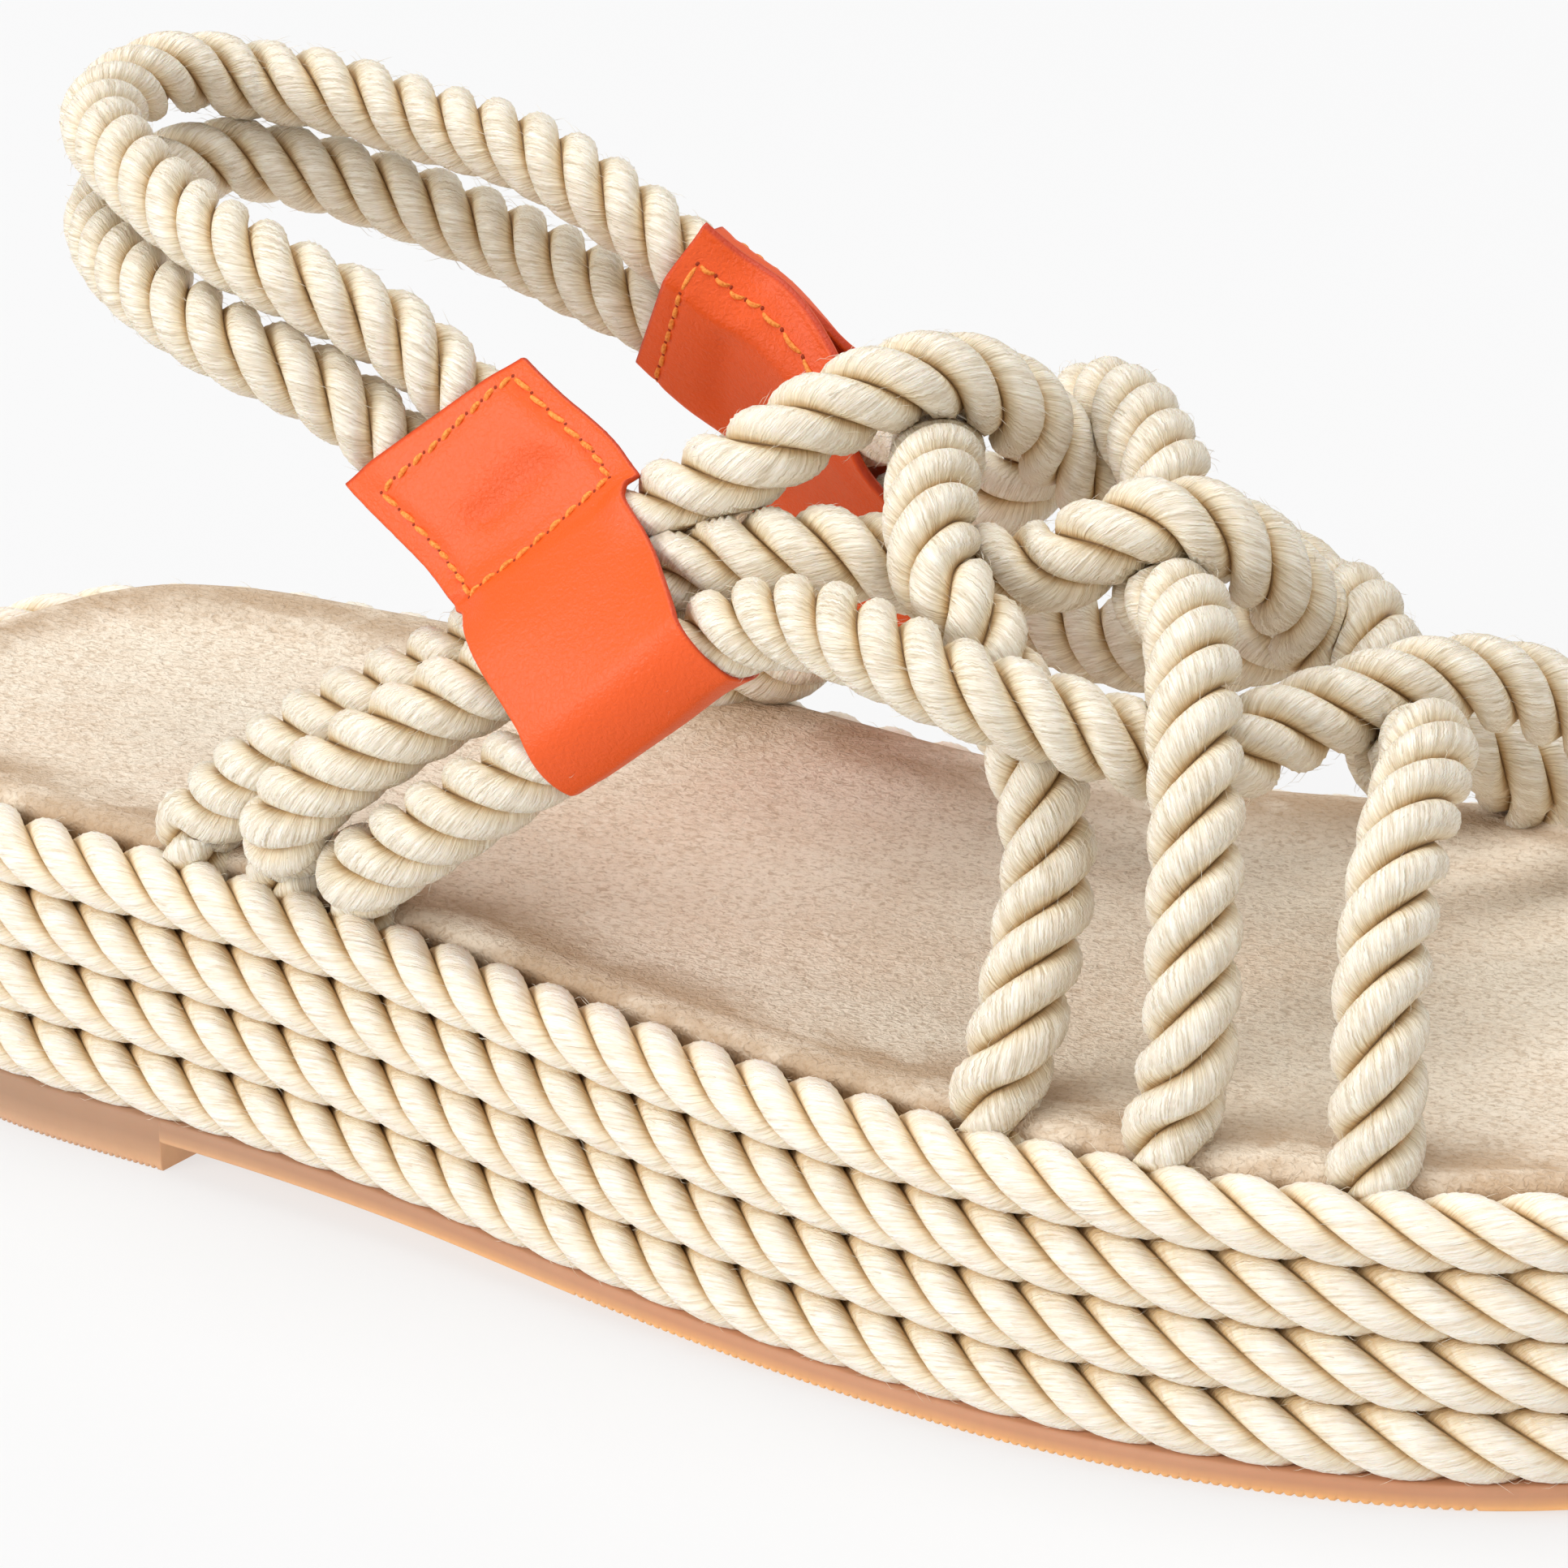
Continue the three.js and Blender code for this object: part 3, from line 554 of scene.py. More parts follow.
def suede_material():
    """Brushed nap over pale patches, darker brown towards the rim."""
    m = Nodes("suede", Roughness=0.95, Specular_IOR_Level=0.1)
    here = m.place()
    nap = m.noise(m.place((1, 1.5, 1)), 1300, 2, 0.6, 0.8)
    fluff = m.noise(m.place((1.3, 1, 1)), 520, 2, 0.5, 0.5)
    patch = m.noise(here, 20, 3, 0.6)
    swirl = m.noise(m.place((1, 2.2, 1)), 60, 3, 0.6, 0.6)
    base = m.ramp(patch, [(0.35, (0.84, 0.69, 0.54)), (0.6, (0.92, 0.83, 0.69))])
    base = m.mix(m.grey(swirl, 0, 0.35, (0.4, 0.65)), base, (0.72, 0.56, 0.41))
    base = m.mix(m.grey(nap, 0.6, 0, (0.34, 0.5)), base, (0.50, 0.37, 0.25))
    base = m.mix(m.grey(nap, 0, 0.5, (0.5, 0.66)), base, (0.97, 0.88, 0.75))
    base = m.mix(m.grey(fluff, 0, 0.25, (0.45, 0.65)), base, (0.93, 0.86, 0.73))
    rim = m.attribute("rim").outputs["Color"]
    # Darker brown towards the rim, patchy with the swirl
    darker_rim = m.mix(m.grey(swirl, 0.4, 1, (0.36, 0.52)), (0, 0, 0), rim)
    m.set("Base Color", m.mix(darker_rim, base, (0.43, 0.28, 0.16)))
    m.set("Normal", m.bump(nap, 0.8, 0.0005, m.bump(fluff, 0.4, 0.0006)))
    return m.material


def leather_material(name, colour, dark):
    """Smooth leather whose grain shows in its creases, with painted shade darkening the dent and a little
    the hem and fold, darker where it is cut.
    """
    m = Nodes(
        name, Roughness=0.46, Coat_Weight=0.05, Coat_Roughness=0.3, Specular_IOR_Level=0.36,
    )
    here = m.place()
    grain = m.noise(here, 2300, 2, 0.55, 0.6)
    cloud = m.noise(here, 90, 3, 0.5)
    grain_and_shade = m.attribute("grain_and_shade").outputs["Fac"]
    shade = tuple(0.88 * c for c in colour)
    base = m.mix(m.grey(cloud, 0, 0.3), colour, shade)
    # Painted shade: the colour darkens in the dent, and a little in the hem and round the fold
    base = m.mix(m.grey(grain_and_shade, 0, 0.6, (0.25, 1)), base, shade)
    cut = m.attribute("cut").outputs["Fac"]
    m.set("Base Color", m.mix(cut, base, dark))
    strength = m.grey(grain_and_shade, 0.3, 0.5, (0.0, 0.7))
    m.set("Normal", m.bump(grain, strength, 0.0004, m.bump(cloud, 0.15, 0.001)))
    return m.material


def gum_material():
    m = Nodes("gum rubber", Roughness=0.62, Subsurface_Weight=0.1, Subsurface_Scale=0.002)
    here = m.place()
    speck = m.noise(here, 600, 3, 0.6)
    cloud = m.noise(here, 60, 3, 0.6)
    along = m.attribute("along").outputs["Fac"]
    rise = m.attribute("rise").outputs["Fac"]
    side = m.ramp(along, [(0.1, (0.34, 0.205, 0.125)), (0.5, (0.54, 0.25, 0.13))])
    # Painted light from the floor's bounce: the lower part of the side takes a brighter golden colour,
    # fading out going up
    edge = m.ramp(along, [(0.15, (0.66, 0.38, 0.22)), (0.5, (0.98, 0.50, 0.17))])
    floor_bounce = m.ramp(rise, [(0.05, (1, 1, 1)), (0.3, (0.35, 0.35, 0.35)), (0.6, (0, 0, 0))])
    base = m.mix(m.grey(cloud, 0, 0.2), m.mix(floor_bounce, side, edge), (0.55, 0.32, 0.20))
    m.set("Base Color", m.mix(m.grey(speck, 0, 0.15), base, (0.40, 0.20, 0.10)))
    m.set("Normal", m.bump(speck, 0.15, 0.0002))
    return m.material


def board_material():
    m = Nodes("board", Roughness=0.8)
    speck = m.noise(m.place(), 900, 3, 0.6)
    m.set("Base Color", m.ramp(speck, [(0.3, (0.42, 0.26, 0.14)), (0.7, (0.75, 0.52, 0.32))]))
    m.set("Normal", m.bump(speck, 0.4, 0.0004))
    return m.material


def thread_material():
    m = Nodes("thread", Roughness=0.55, Specular_IOR_Level=0.2)
    speck = m.noise(m.place(), 4500, 2, 0.5)
    base = m.ramp(speck, [(0.35, (0.72, 0.18, 0.025)), (0.6, (0.93, 0.34, 0.07))])
    # Painted shade: the beads in the stitch holes are dark red-brown
    m.set("Base Color", m.mix(m.attribute("hole_shade").outputs["Fac"], base, (0.30, 0.035, 0.008)))
    return m.material


suede = suede_material()
orange = leather_material("orange leather", (0.82, 0.096, 0.007), (0.56, 0.05, 0.01))
gum = gum_material()
board = board_material()
thread = thread_material()

ROPE_ATTRIBUTES = (("fibre", "FLOAT_VECTOR"), ("groove_shade", "FLOAT"))


def rope_line(points, step):
    line = dense(points)
    lengths = lengths_of(line)
    count = max(int(round(lengths[-1] / step)), 8)
    return at_length(line, lengths, np.linspace(0, lengths[-1], count + 1))


SOLE_RINGS = 832  # round the sole
RINGS_A_TURN = 22  # along the other ropes
SOLE_SWELL, UPPER_SWELL, SLING_SWELL = 0.42, 0.2, 0.25  # past the radius of the plain solids
SOLE_PHASE, SOLE_PHASE_STEP, UPPER_PHASE_STEP, SLING_PHASE_STEP = 0.7, 1.9, 1.1, 2.1
JOINT_ABOVE, JOINT_BELOW = 0.93, 0.9  # painted shade where a row meets its neighbour
JOINT_ABOVE_FROM, JOINT_BELOW_FROM = 0.42, 0.9  # how steeply up or down a place faces there

sole_ropes = []
for row in range(SOLE_ROWS):
    centres, out = footprint(SEAM + SOLE_ROPE, SOLE_RINGS)
    centres[:, 2] = row_centre(centres[:, 0], row)
    phase = SOLE_PHASE + SOLE_PHASE_STEP * row
    sole_ropes.append(Rope(centres, SOLE_ROPE + SOLE_SWELL, SOLE_LAY, phase, closed=True, across=out))



def open_ropes(lines, radius, lay, phase_step):
    return [
        Rope(rope_line(points, lay / RINGS_A_TURN), radius, lay, phase_step * number)
        for number, points in enumerate(lines)
    ]


upper_lines = [route_points(r, -1) for r in OUTER] + [route_points(r, 1) for r in INNER]
sling_lines = [place(rows) for rows in (SLING_UPPER, SLING_LOWER)]
upper_ropes = open_ropes(upper_lines, UPPER_ROPE + UPPER_SWELL, UPPER_LAY, UPPER_PHASE_STEP)
sling_ropes = open_ropes(sling_lines, SLING_ROPE + SLING_SWELL, SLING_LAY, SLING_PHASE_STEP)


def press_ropes(group, more=()):
    for rope in group:
        around = [o for o in group if o is not rope] + list(more)
        centres = np.vstack([o.centres[::2] for o in around])
        radii = np.concatenate([[o.radius] * len(o.centres[::2]) for o in around])
        rope.press(centres, radii)


press_ropes(upper_ropes, sole_ropes[-1:])
press_ropes(sling_ropes)
press_ropes(sole_ropes)
# Painted shade on each sole row's underside, and on its top where the next row lies over it
for row, rope in enumerate(sole_ropes):
    up = rope.out[..., 2]
    joint_shade = JOINT_BELOW * smooth(JOINT_BELOW_FROM, 1.0, -up)
    if row < SOLE_ROWS - 1:
        joint_shade = np.maximum(joint_shade, JOINT_ABOVE * smooth(JOINT_ABOVE_FROM, 1.0, up))
    rope.groove_shade = np.maximum(rope.groove_shade, joint_shade)

rope_pieces = [
    (f"rope_row_{i + 1}", [rope], sole_cord, f"sole_rope_{i + 1}", "sole_cord")
    for i, rope in enumerate(sole_ropes)
]
rope_pieces.append(("rope_upper", upper_ropes, upper_cord, "upper", "upper_cord"))
for rope, name in zip(sling_ropes, ("upper", "lower")):
    rope_pieces.append((f"rope_sling_{name}", [rope], upper_cord, f"slingback_rope_{name}", "upper_cord"))
for name, ropes, cord, node, slot in rope_pieces:
    make_piece(name, [r.mesh() for r in ropes], cord, node, ROPE_ATTRIBUTES)


# Loose fibres on the ropes
HAIR = 0.024  # radius


def hairs(ropes, count, seed, length):
    """Short three-sided fibres that lift off the ropes' strands along them."""
    draw = np.random.default_rng(seed)
    sizes = np.array([len(r.centres) for r in ropes], float)
    points, faces = [], []
    for index in draw.choice(len(ropes), count, p=sizes / sizes.sum()):
        rope = ropes[index]
        i = draw.integers(2, len(rope.centres) - 3)
        k = draw.integers(0, 3)
        j = draw.integers(2, rope.points.shape[2] - 2)
        start = rope.points[i, k, j]
        out = rope.out[i, k, j]
        way = rope.tangent[i] * draw.choice((-1, 1))
        sideways = np.cross(out, way)
        size = length * draw.uniform(0.5, 1.5)
        lift = draw.uniform(0.08, 0.6)
        bend = draw.uniform(-0.3, 0.3)
        a = start - out * 0.1
        b = start + way * size * 0.5 + out * size * lift * 0.5 + sideways * bend * size * 0.2
        c = start + way * size * 0.9 + out * size * lift * draw.uniform(0.3, 1.1)
        c = c + sideways * bend * size
        base = len(points)
        for at, thick in ((a, 1.0), (b, 0.8)):
            for turn in range(3):
                angle = turn * 2 * math.pi / 3
                ring = out * math.cos(angle) + sideways * math.sin(angle)
                points.append(at + ring * HAIR * thick)
        points.append(c)
        for turn in range(3):
            after = (turn + 1) % 3
            faces.append([base + turn, base + after, base + 3 + after, base + 3 + turn])
            faces.append([base + 3 + turn, base + 3 + after, base + 6])
        faces.append([base, base + 2, base + 1])
    return np.array(points), faces


def hair_material():
    m = Nodes("loose fibre", Roughness=0.6)
    tone = m.noise(m.place(), 300, 1, 0.5)
    m.set("Base Color", m.ramp(tone, [(0.3, (0.70, 0.60, 0.44)), (0.7, (0.93, 0.88, 0.76))]))
    return m.material


loose = hair_material()
upper_hairs = hairs(upper_ropes + sling_ropes, count=9500, seed=5, length=1.5)
make_piece("fuzz_upper", [upper_hairs], loose)
sole_hairs = hairs(sole_ropes, count=7000, seed=7, length=1.4)
make_piece("fuzz_sole", [sole_hairs], loose)

# Footbed
FOOTBED_POINTS = 420  # round it
FOOTBED_LEAN = 0.75  # how far its soft edge presses into the top rope
FAR_LEAN = 1.6  # how far the inner side's edge leans over that rope
FAR_PROUD = 0.9  # and how much higher it stands
FAR_ACROSS, FAR_HEEL, FAR_TOE = (-4, 14), (6, 26), (0.9, 1)  # where that begins and fades
RIM_SIDE, RIM_CROWN, RIM_TOP = 0.85, 0.6, 0.75  # how much darker brown the suede is up its edge and on top
RIM_RUN = (0.03, 0.3)  # shares of the way in over which the darkening fades
RING_SHARES = (0.02, 0.05, 0.09, 0.14, 0.2, 0.27, 0.35, 0.44, 0.54, 0.65, 0.77, 0.88, 0.97)


def footbed_mesh():
    """Rings from the underside's edge round the padded rim and in to a line along the middle."""
    edge, _ = footprint(-SEAM / 2, FOOTBED_POINTS)
    x = np.clip(edge[:, 0], SPINE_START * LENGTH, SPINE_END * LENGTH)
    middle = [(half_width(v, 1) - half_width(v, -1)) / 2 for v in x]
    spine = np.column_stack([x, middle, np.zeros(len(x))])
    reach = spine - edge
    size = np.linalg.norm(reach, axis=1)

    def dish(at):
        return FOOTBED_DISH * (1 - smooth(DISH_START, DISH_END, at / LENGTH))

    far = smooth(*FAR_ACROSS, edge[:, 1]) * (1 - smooth(*FAR_TOE, edge[:, 0] / LENGTH))
    far = far * smooth(*FAR_HEEL, edge[:, 0] + 0.5 * np.maximum(edge[:, 1], 0))

    def ring(share, inset, drop, sunk):
        over = far * FAR_LEAN * max(0, 1 - share / 0.1) * (1 if drop < 1 else 0.6)
        q = edge + reach * ((inset - over) / size + share)[:, None]
        proud = far * FAR_PROUD * (1 - smooth(0.02, 0.3, share))
        q[:, 2] = footbed_top(q[:, 0]) - drop - sunk * dish(q[:, 0]) + proud
        return q

    rings = [
        ring(0, 0.6, FOOTBED_THICKNESS - 0.1, 0),
        ring(0, -FOOTBED_LEAN, FOOTBED_THICKNESS - 0.3, 0),
    ]
    rim = [1, 1]
    for angle in np.linspace(0, math.pi / 2, 8):
        inset = FOOTBED_ROUND * (1 - math.cos(angle)) - FOOTBED_LEAN * math.cos(angle)
        drop = FOOTBED_ROUND * (1 - math.sin(angle))
        rings.append(ring(0, inset, drop, 0))
        rim.append(RIM_SIDE + (RIM_CROWN - RIM_SIDE) * angle / (math.pi / 2))
    for share in RING_SHARES:
        sunk = 0.7 * smooth(0, 0.45, share) + 0.3 * smooth(0.4, 0.95, share)
        rings.append(ring(share, FOOTBED_ROUND * (1 - share), 0, sunk))
        rim.append(RIM_TOP * (1 - float(smooth(*RIM_RUN, share))))
    count = FOOTBED_POINTS
    points = np.vstack(rings)
    faces = skin_faces(len(rings), count, ends=False)
    last = len(points) - count
    # Close the thin slot along the spine and the underside across the footbed
    faces += closing(points, last, count, up=True)
    faces += closing(points, 0, count, up=False)
    return points, faces, np.repeat(rim, count)


def closing(points, start, count, up):
    """Faces across a ring from its outer half to its inner half, by matching places along it."""
    toe = int(np.argmax(points[start:start + count, 0]))
    one = list(range(toe + 1))
    other = [0, *range(count - 1, toe - 1, -1)]
    faces = []
    i = j = 0
    while i < len(one) - 1 or j < len(other) - 1:
        ahead_i = points[start + one[i + 1], 0] if i < len(one) - 1 else 1e9
        ahead_j = points[start + other[j + 1], 0] if j < len(other) - 1 else 1e9
        if ahead_i <= ahead_j:
            face = [one[i], one[i + 1], other[j]]
            i += 1
        else:
            face = [one[i], other[j + 1], other[j]]
            j += 1
        if len(set(face)) == 3:
            faces.append([start + v for v in (face if up else face[::-1])])
    return faces


footbed = make_piece(
    "suede_footbed", [footbed_mesh()], suede, "footbed", (("rim", "FLOAT"),)
)


# Outsole
OUTSOLE_POINTS = 2400
STEP_BACK = 0.6  # how far the step lies behind the heel block's nominal end
END_SPAN, END_SECTIONS, SECTION_PITCH = 14.0, 26, 1.5  # sections lie closer together at the ends
HEEL_TEETH = {"pitch": 0.8, "depth": 0.24, "from": 0.4, "to": 0.9}  # gaps to the block's two ends
BALL_TEETH = {"pitch": 1.0, "depth": 0.36, "from": 112.0, "to": 212.0}
TOOTH = ((0, 0), (0.2, 1), (0.4, 1), (0.6, 0))  # share of the pitch, share of the depth
TOOTH_RISE = 0.16  # share of the side's height over which a tooth runs out
TOOTH_MARGIN = 0.2
STEP_SECTIONS = np.array([-0.3, -0.1, -0.02, 0.02, 0.3])
SIDE_ROWS = (
    # share of the side's height, inset
    (0.0, 0.22), (0.07, 0.04), (0.14, 0.0), (0.4, 0.0), (0.7, 0.02), (0.93, 0.12), (1.0, 0.4),
)
ACROSS = (0.15, 0.5, 0.85)  # points across the top and the underside


def outsole_mesh():
    """Sections across the rubber sheet and its heel block, from heel to toe."""
    rim, _ = footprint(OUTSOLE_REACH, OUTSOLE_POINTS)
    order = np.roll(rim, -int(np.argmin(rim[:, 0])), axis=0)
    toe = int(np.argmax(order[:, 0]))
    outer, inner = order[:toe + 1], np.vstack([order[:1], order[toe:][::-1]])
    low, high = rim[:, 0].min(), rim[:, 0].max()
    step = HEEL_BLOCK_LENGTH - STEP_BACK
    ends = END_SPAN * (1 - np.cos(np.linspace(0, math.pi / 2, END_SECTIONS)))
    plain = np.arange(low + END_SPAN, high - END_SPAN, SECTION_PITCH)
    heel, ball = HEEL_TEETH, BALL_TEETH
    runs = (
        (low + heel["from"], step - heel["to"], heel["pitch"]),
        (ball["from"], ball["to"], ball["pitch"]),
    )
    teeth = [
        (x + share * pitch, cut)
        for start, end, pitch in runs for x in np.arange(start, end, pitch) for share, cut in TOOTH
    ]
    tooth_x, tooth_cut = np.array(teeth).T
    sections = [low + ends, plain, high - ends, tooth_x, step + STEP_SECTIONS]
    xs = np.unique(np.round(np.concatenate(sections), 4))
    cut = np.interp(xs, tooth_x, tooth_cut) * np.where(xs < step, heel["depth"], ball["depth"])
    waist = (xs > step + STEP_SECTIONS[0]) & (xs < ball["from"] - TOOTH_MARGIN)
    cut[waist | (xs > ball["to"] + TOOTH_MARGIN)] = 0
    near, far = (np.interp(xs, side[:, 0], side[:, 1]) for side in (outer, inner))
    under = np.where(xs < step, 0, sheet_bottom(xs))
    top = np.where(xs < step, HEEL_BLOCK, sheet_bottom(xs)) + SOLE_SHEET

    def side_points(x, y, way, wide, z0, z1, c):
        points = []
        for share, inset in SIDE_ROWS:
            z = z0 + c * max(0, 1 - share / TOOTH_RISE) + share * (z1 - z0)
            points.append((x, y + way * min(inset, wide * 0.3), z))
        return points

    rings = []
    for x, a, b, z0, z1, c in zip(xs, near, far, under, top, cut):
        wide = b - a
        rings.append([
            *side_points(x, a, 1, wide, z0, z1, c),
            *((x, a + wide * share, z1) for share in ACROSS),
            *side_points(x, b, -1, wide, z0, z1, c)[::-1],
            *((x, a + wide * share, z0 + c) for share in reversed(ACROSS)),
        ])
    points = np.array(rings)
    count = points.shape[1]
    shares = [share for share, _ in SIDE_ROWS]
    rise = [*shares, *[1] * len(ACROSS), *shares[::-1], *[0] * len(ACROSS)]
    faces = skin_faces(len(rings), count, flip=True)
    along = np.repeat(xs / LENGTH, count)
    return points.reshape(-1, 3), faces, along, np.tile(rise, len(rings))


make_piece(
    "gum_outsole", [outsole_mesh()], gum, "outsole",
    (("along", "FLOAT"), ("rise", "FLOAT")),
)


# Leather tabs. Their tables say for places down a tab where its two edges lie, as shares of half
# its width, with the second one also for the inner layer, and the room under the leather in its
# middle and at its edges. The lean moves both layers' edges outwards.
TAB_START = -0.015  # share down at which the mouth's edge lies
SKIN = 0.95  # the leather's own thickness
TAB_COLUMNS = ("down", "low", "high", "high_in", "middle", "low_room", "high_room", "lean")
OUTER_TAB = (
    (-0.05, -0.86, 1.15, 1.05, 4.5, 0.3, 0.3, 3.5),
    (0.12, -0.86, 1.15, 1.02, 4.5, 0.3, 0.3, 3.5),
    (0.2, -0.86, 1.18, 0.98, 4.4, 0.3, 0.3, 3.5),
    (0.3, -0.86, 1.22, 0.9, 3.7, 0.4, 0.4, 2.9),
    (0.4, -0.84, 1.27, 0.85, 3.3, 0.6, 0.8, 2.4),
    (0.43, -0.83, 1.3, 0.82, 3.3, 0.9, 1.2, 2.1),
    (0.46, -0.82, 1.32, 0.8, 3.4, 1.2, 1.8, 1.7),
    (0.48, -0.82, 1.24, 0.8, 3.5, 1.6, 3.9, 0.8),
    (0.52, -0.82, 1.17, 0.82, 4, 2.4, 4.6, 0.4),
    (0.54, -0.76, 1.17, 0.84, 4.1, 2.7, 4.7, 0.3),
    (0.65, -0.8, 1.2, 0.9, 4.6, 4.1, 4.8, 0),
    (0.75, -0.8, 1.2, 0.96, 4.8, 4.6, 4.8, 0),
    (0.88, -0.8, 1.17, 1.05, 4.8, 4.7, 4.9, 0),
    (1, -0.86, 1.14, 1.14, 4.7, 4.5, 4.9, 0),
    (1.1, -1.1, 1, 1, 4.6, 4.4, 4.9, 0),
)
INNER_TAB = (
    (-0.05, -0.86, 0.72, 0.93, 4.6, 0.3, 0.3, 0.8),
    (0.12, -0.86, 0.78, 0.98, 4.6, 0.3, 0.3, 0.8),
    (0.2, -0.86, 0.87, 1.06, 4.5, 0.3, 0.3, 0.8),
    (0.3, -0.86, 0.98, 1.26, 4.1, 0.7, 0.6, 0.6),
    (0.4, -0.84, 1.05, 1.5, 4.2, 1.9, 1.4, 0.5),
    (0.43, -0.83, 1.07, 1.6, 4.5, 2.9, 2, 0.4),
    (0.46, -0.82, 1.07, 1.64, 4.9, 3.9, 2.8, 0.4),
    (0.48, -0.82, 1.02, 1.64, 5.1, 4.6, 4.2, 0.3),
    (0.52, -0.82, 1, 1.64, 5.3, 5, 4.8, 0.2),
    (0.54, -0.76, 1, 1.62, 5.3, 5.1, 4.9, 0.1),
    (0.65, -0.8, 1, 1.5, 5.2, 5, 5, 0),
    (0.75, -0.8, 1, 1.35, 5, 4.8, 5, 0),
    (0.88, -0.8, 1, 1.12, 4.9, 4.8, 5, 0),
    (1, -0.86, 1, 1, 4.8, 4.6, 4.9, 0),
    (1.1, -1.1, 1, 1, 4.7, 4.5, 4.9, 0),
)
FOLD_SHARE = 0.1  # what the fold under rope three counts for in those tables
FOLD_PINCH = 0.5  # how pointed the fold is
TABLE_SPREAD = np.linspace(-1, 1, 7)  # the tables' values are softened over this spread
TABLE_SOFTEN = 0.03
EDGE_STEP, EDGE_STEP_SPAN = 0.48, 0.12  # less so round the step in the edge below the seam
FOLD_REACH = 0.98

# Corners of the sewn line and the dent in front of the sling's ends: share down, share across
SEWN = ((0.058, 0.115), (0.013, 0.915), (0.412, 0.895), (0.50, 0.10))
SEWN_INNER = ((0.075, 0.115), (0.035, 0.905), (0.42, 0.9), (0.5, 0.1))
DENT = ((0.262, 0.37), (0.228, 0.68))
TAB_LONG, TAB_WIDE = 36.0, 22.0  # the band's rough size, for distances on it
SEAM_PRESS, SEAM_SPREAD = 0.13, 0.6
DENT_PRESS, DENT_SPREAD, DENT_GRAIN_AND_SHADE_SPREAD = 0.42, 1.9, 2.6
# Grain, and painted shade with it, on plain leather and in the hem
PLAIN_GRAIN_AND_SHADE, HEM_GRAIN_AND_SHADE = 0.3, 0.34
CUT_ROUND = 0.28  # how far the cut edges are rounded, as a share of the leather's thickness
RAGGED = 0.01


def to_segment(t, across, start, end):
    """Distance in millimetres on a tab from a point to a segment, both by their shares."""
    a = np.array([start[0] * TAB_LONG, start[1] * TAB_WIDE])
    b = np.array([end[0] * TAB_LONG, end[1] * TAB_WIDE])
    p = np.stack([t * TAB_LONG + 0 * across, across * TAB_WIDE], axis=-1)
    share = np.clip((p - a) @ (b - a) / ((b - a) @ (b - a)), 0, 1)
    return np.linalg.norm(p - a - share[:, None] * (b - a), axis=1)


def lines_at(lines, t):
    """The point at share t down a curve through each column of the lines."""
    ext = np.concatenate([[2 * lines[0] - lines[1]], lines, [2 * lines[-1] - lines[-2]]])
    spans = len(lines) - 1
    index = min(max(int(t * spans), 0), spans - 1)
    return between(*ext[index:index + 4], t * spans - index)


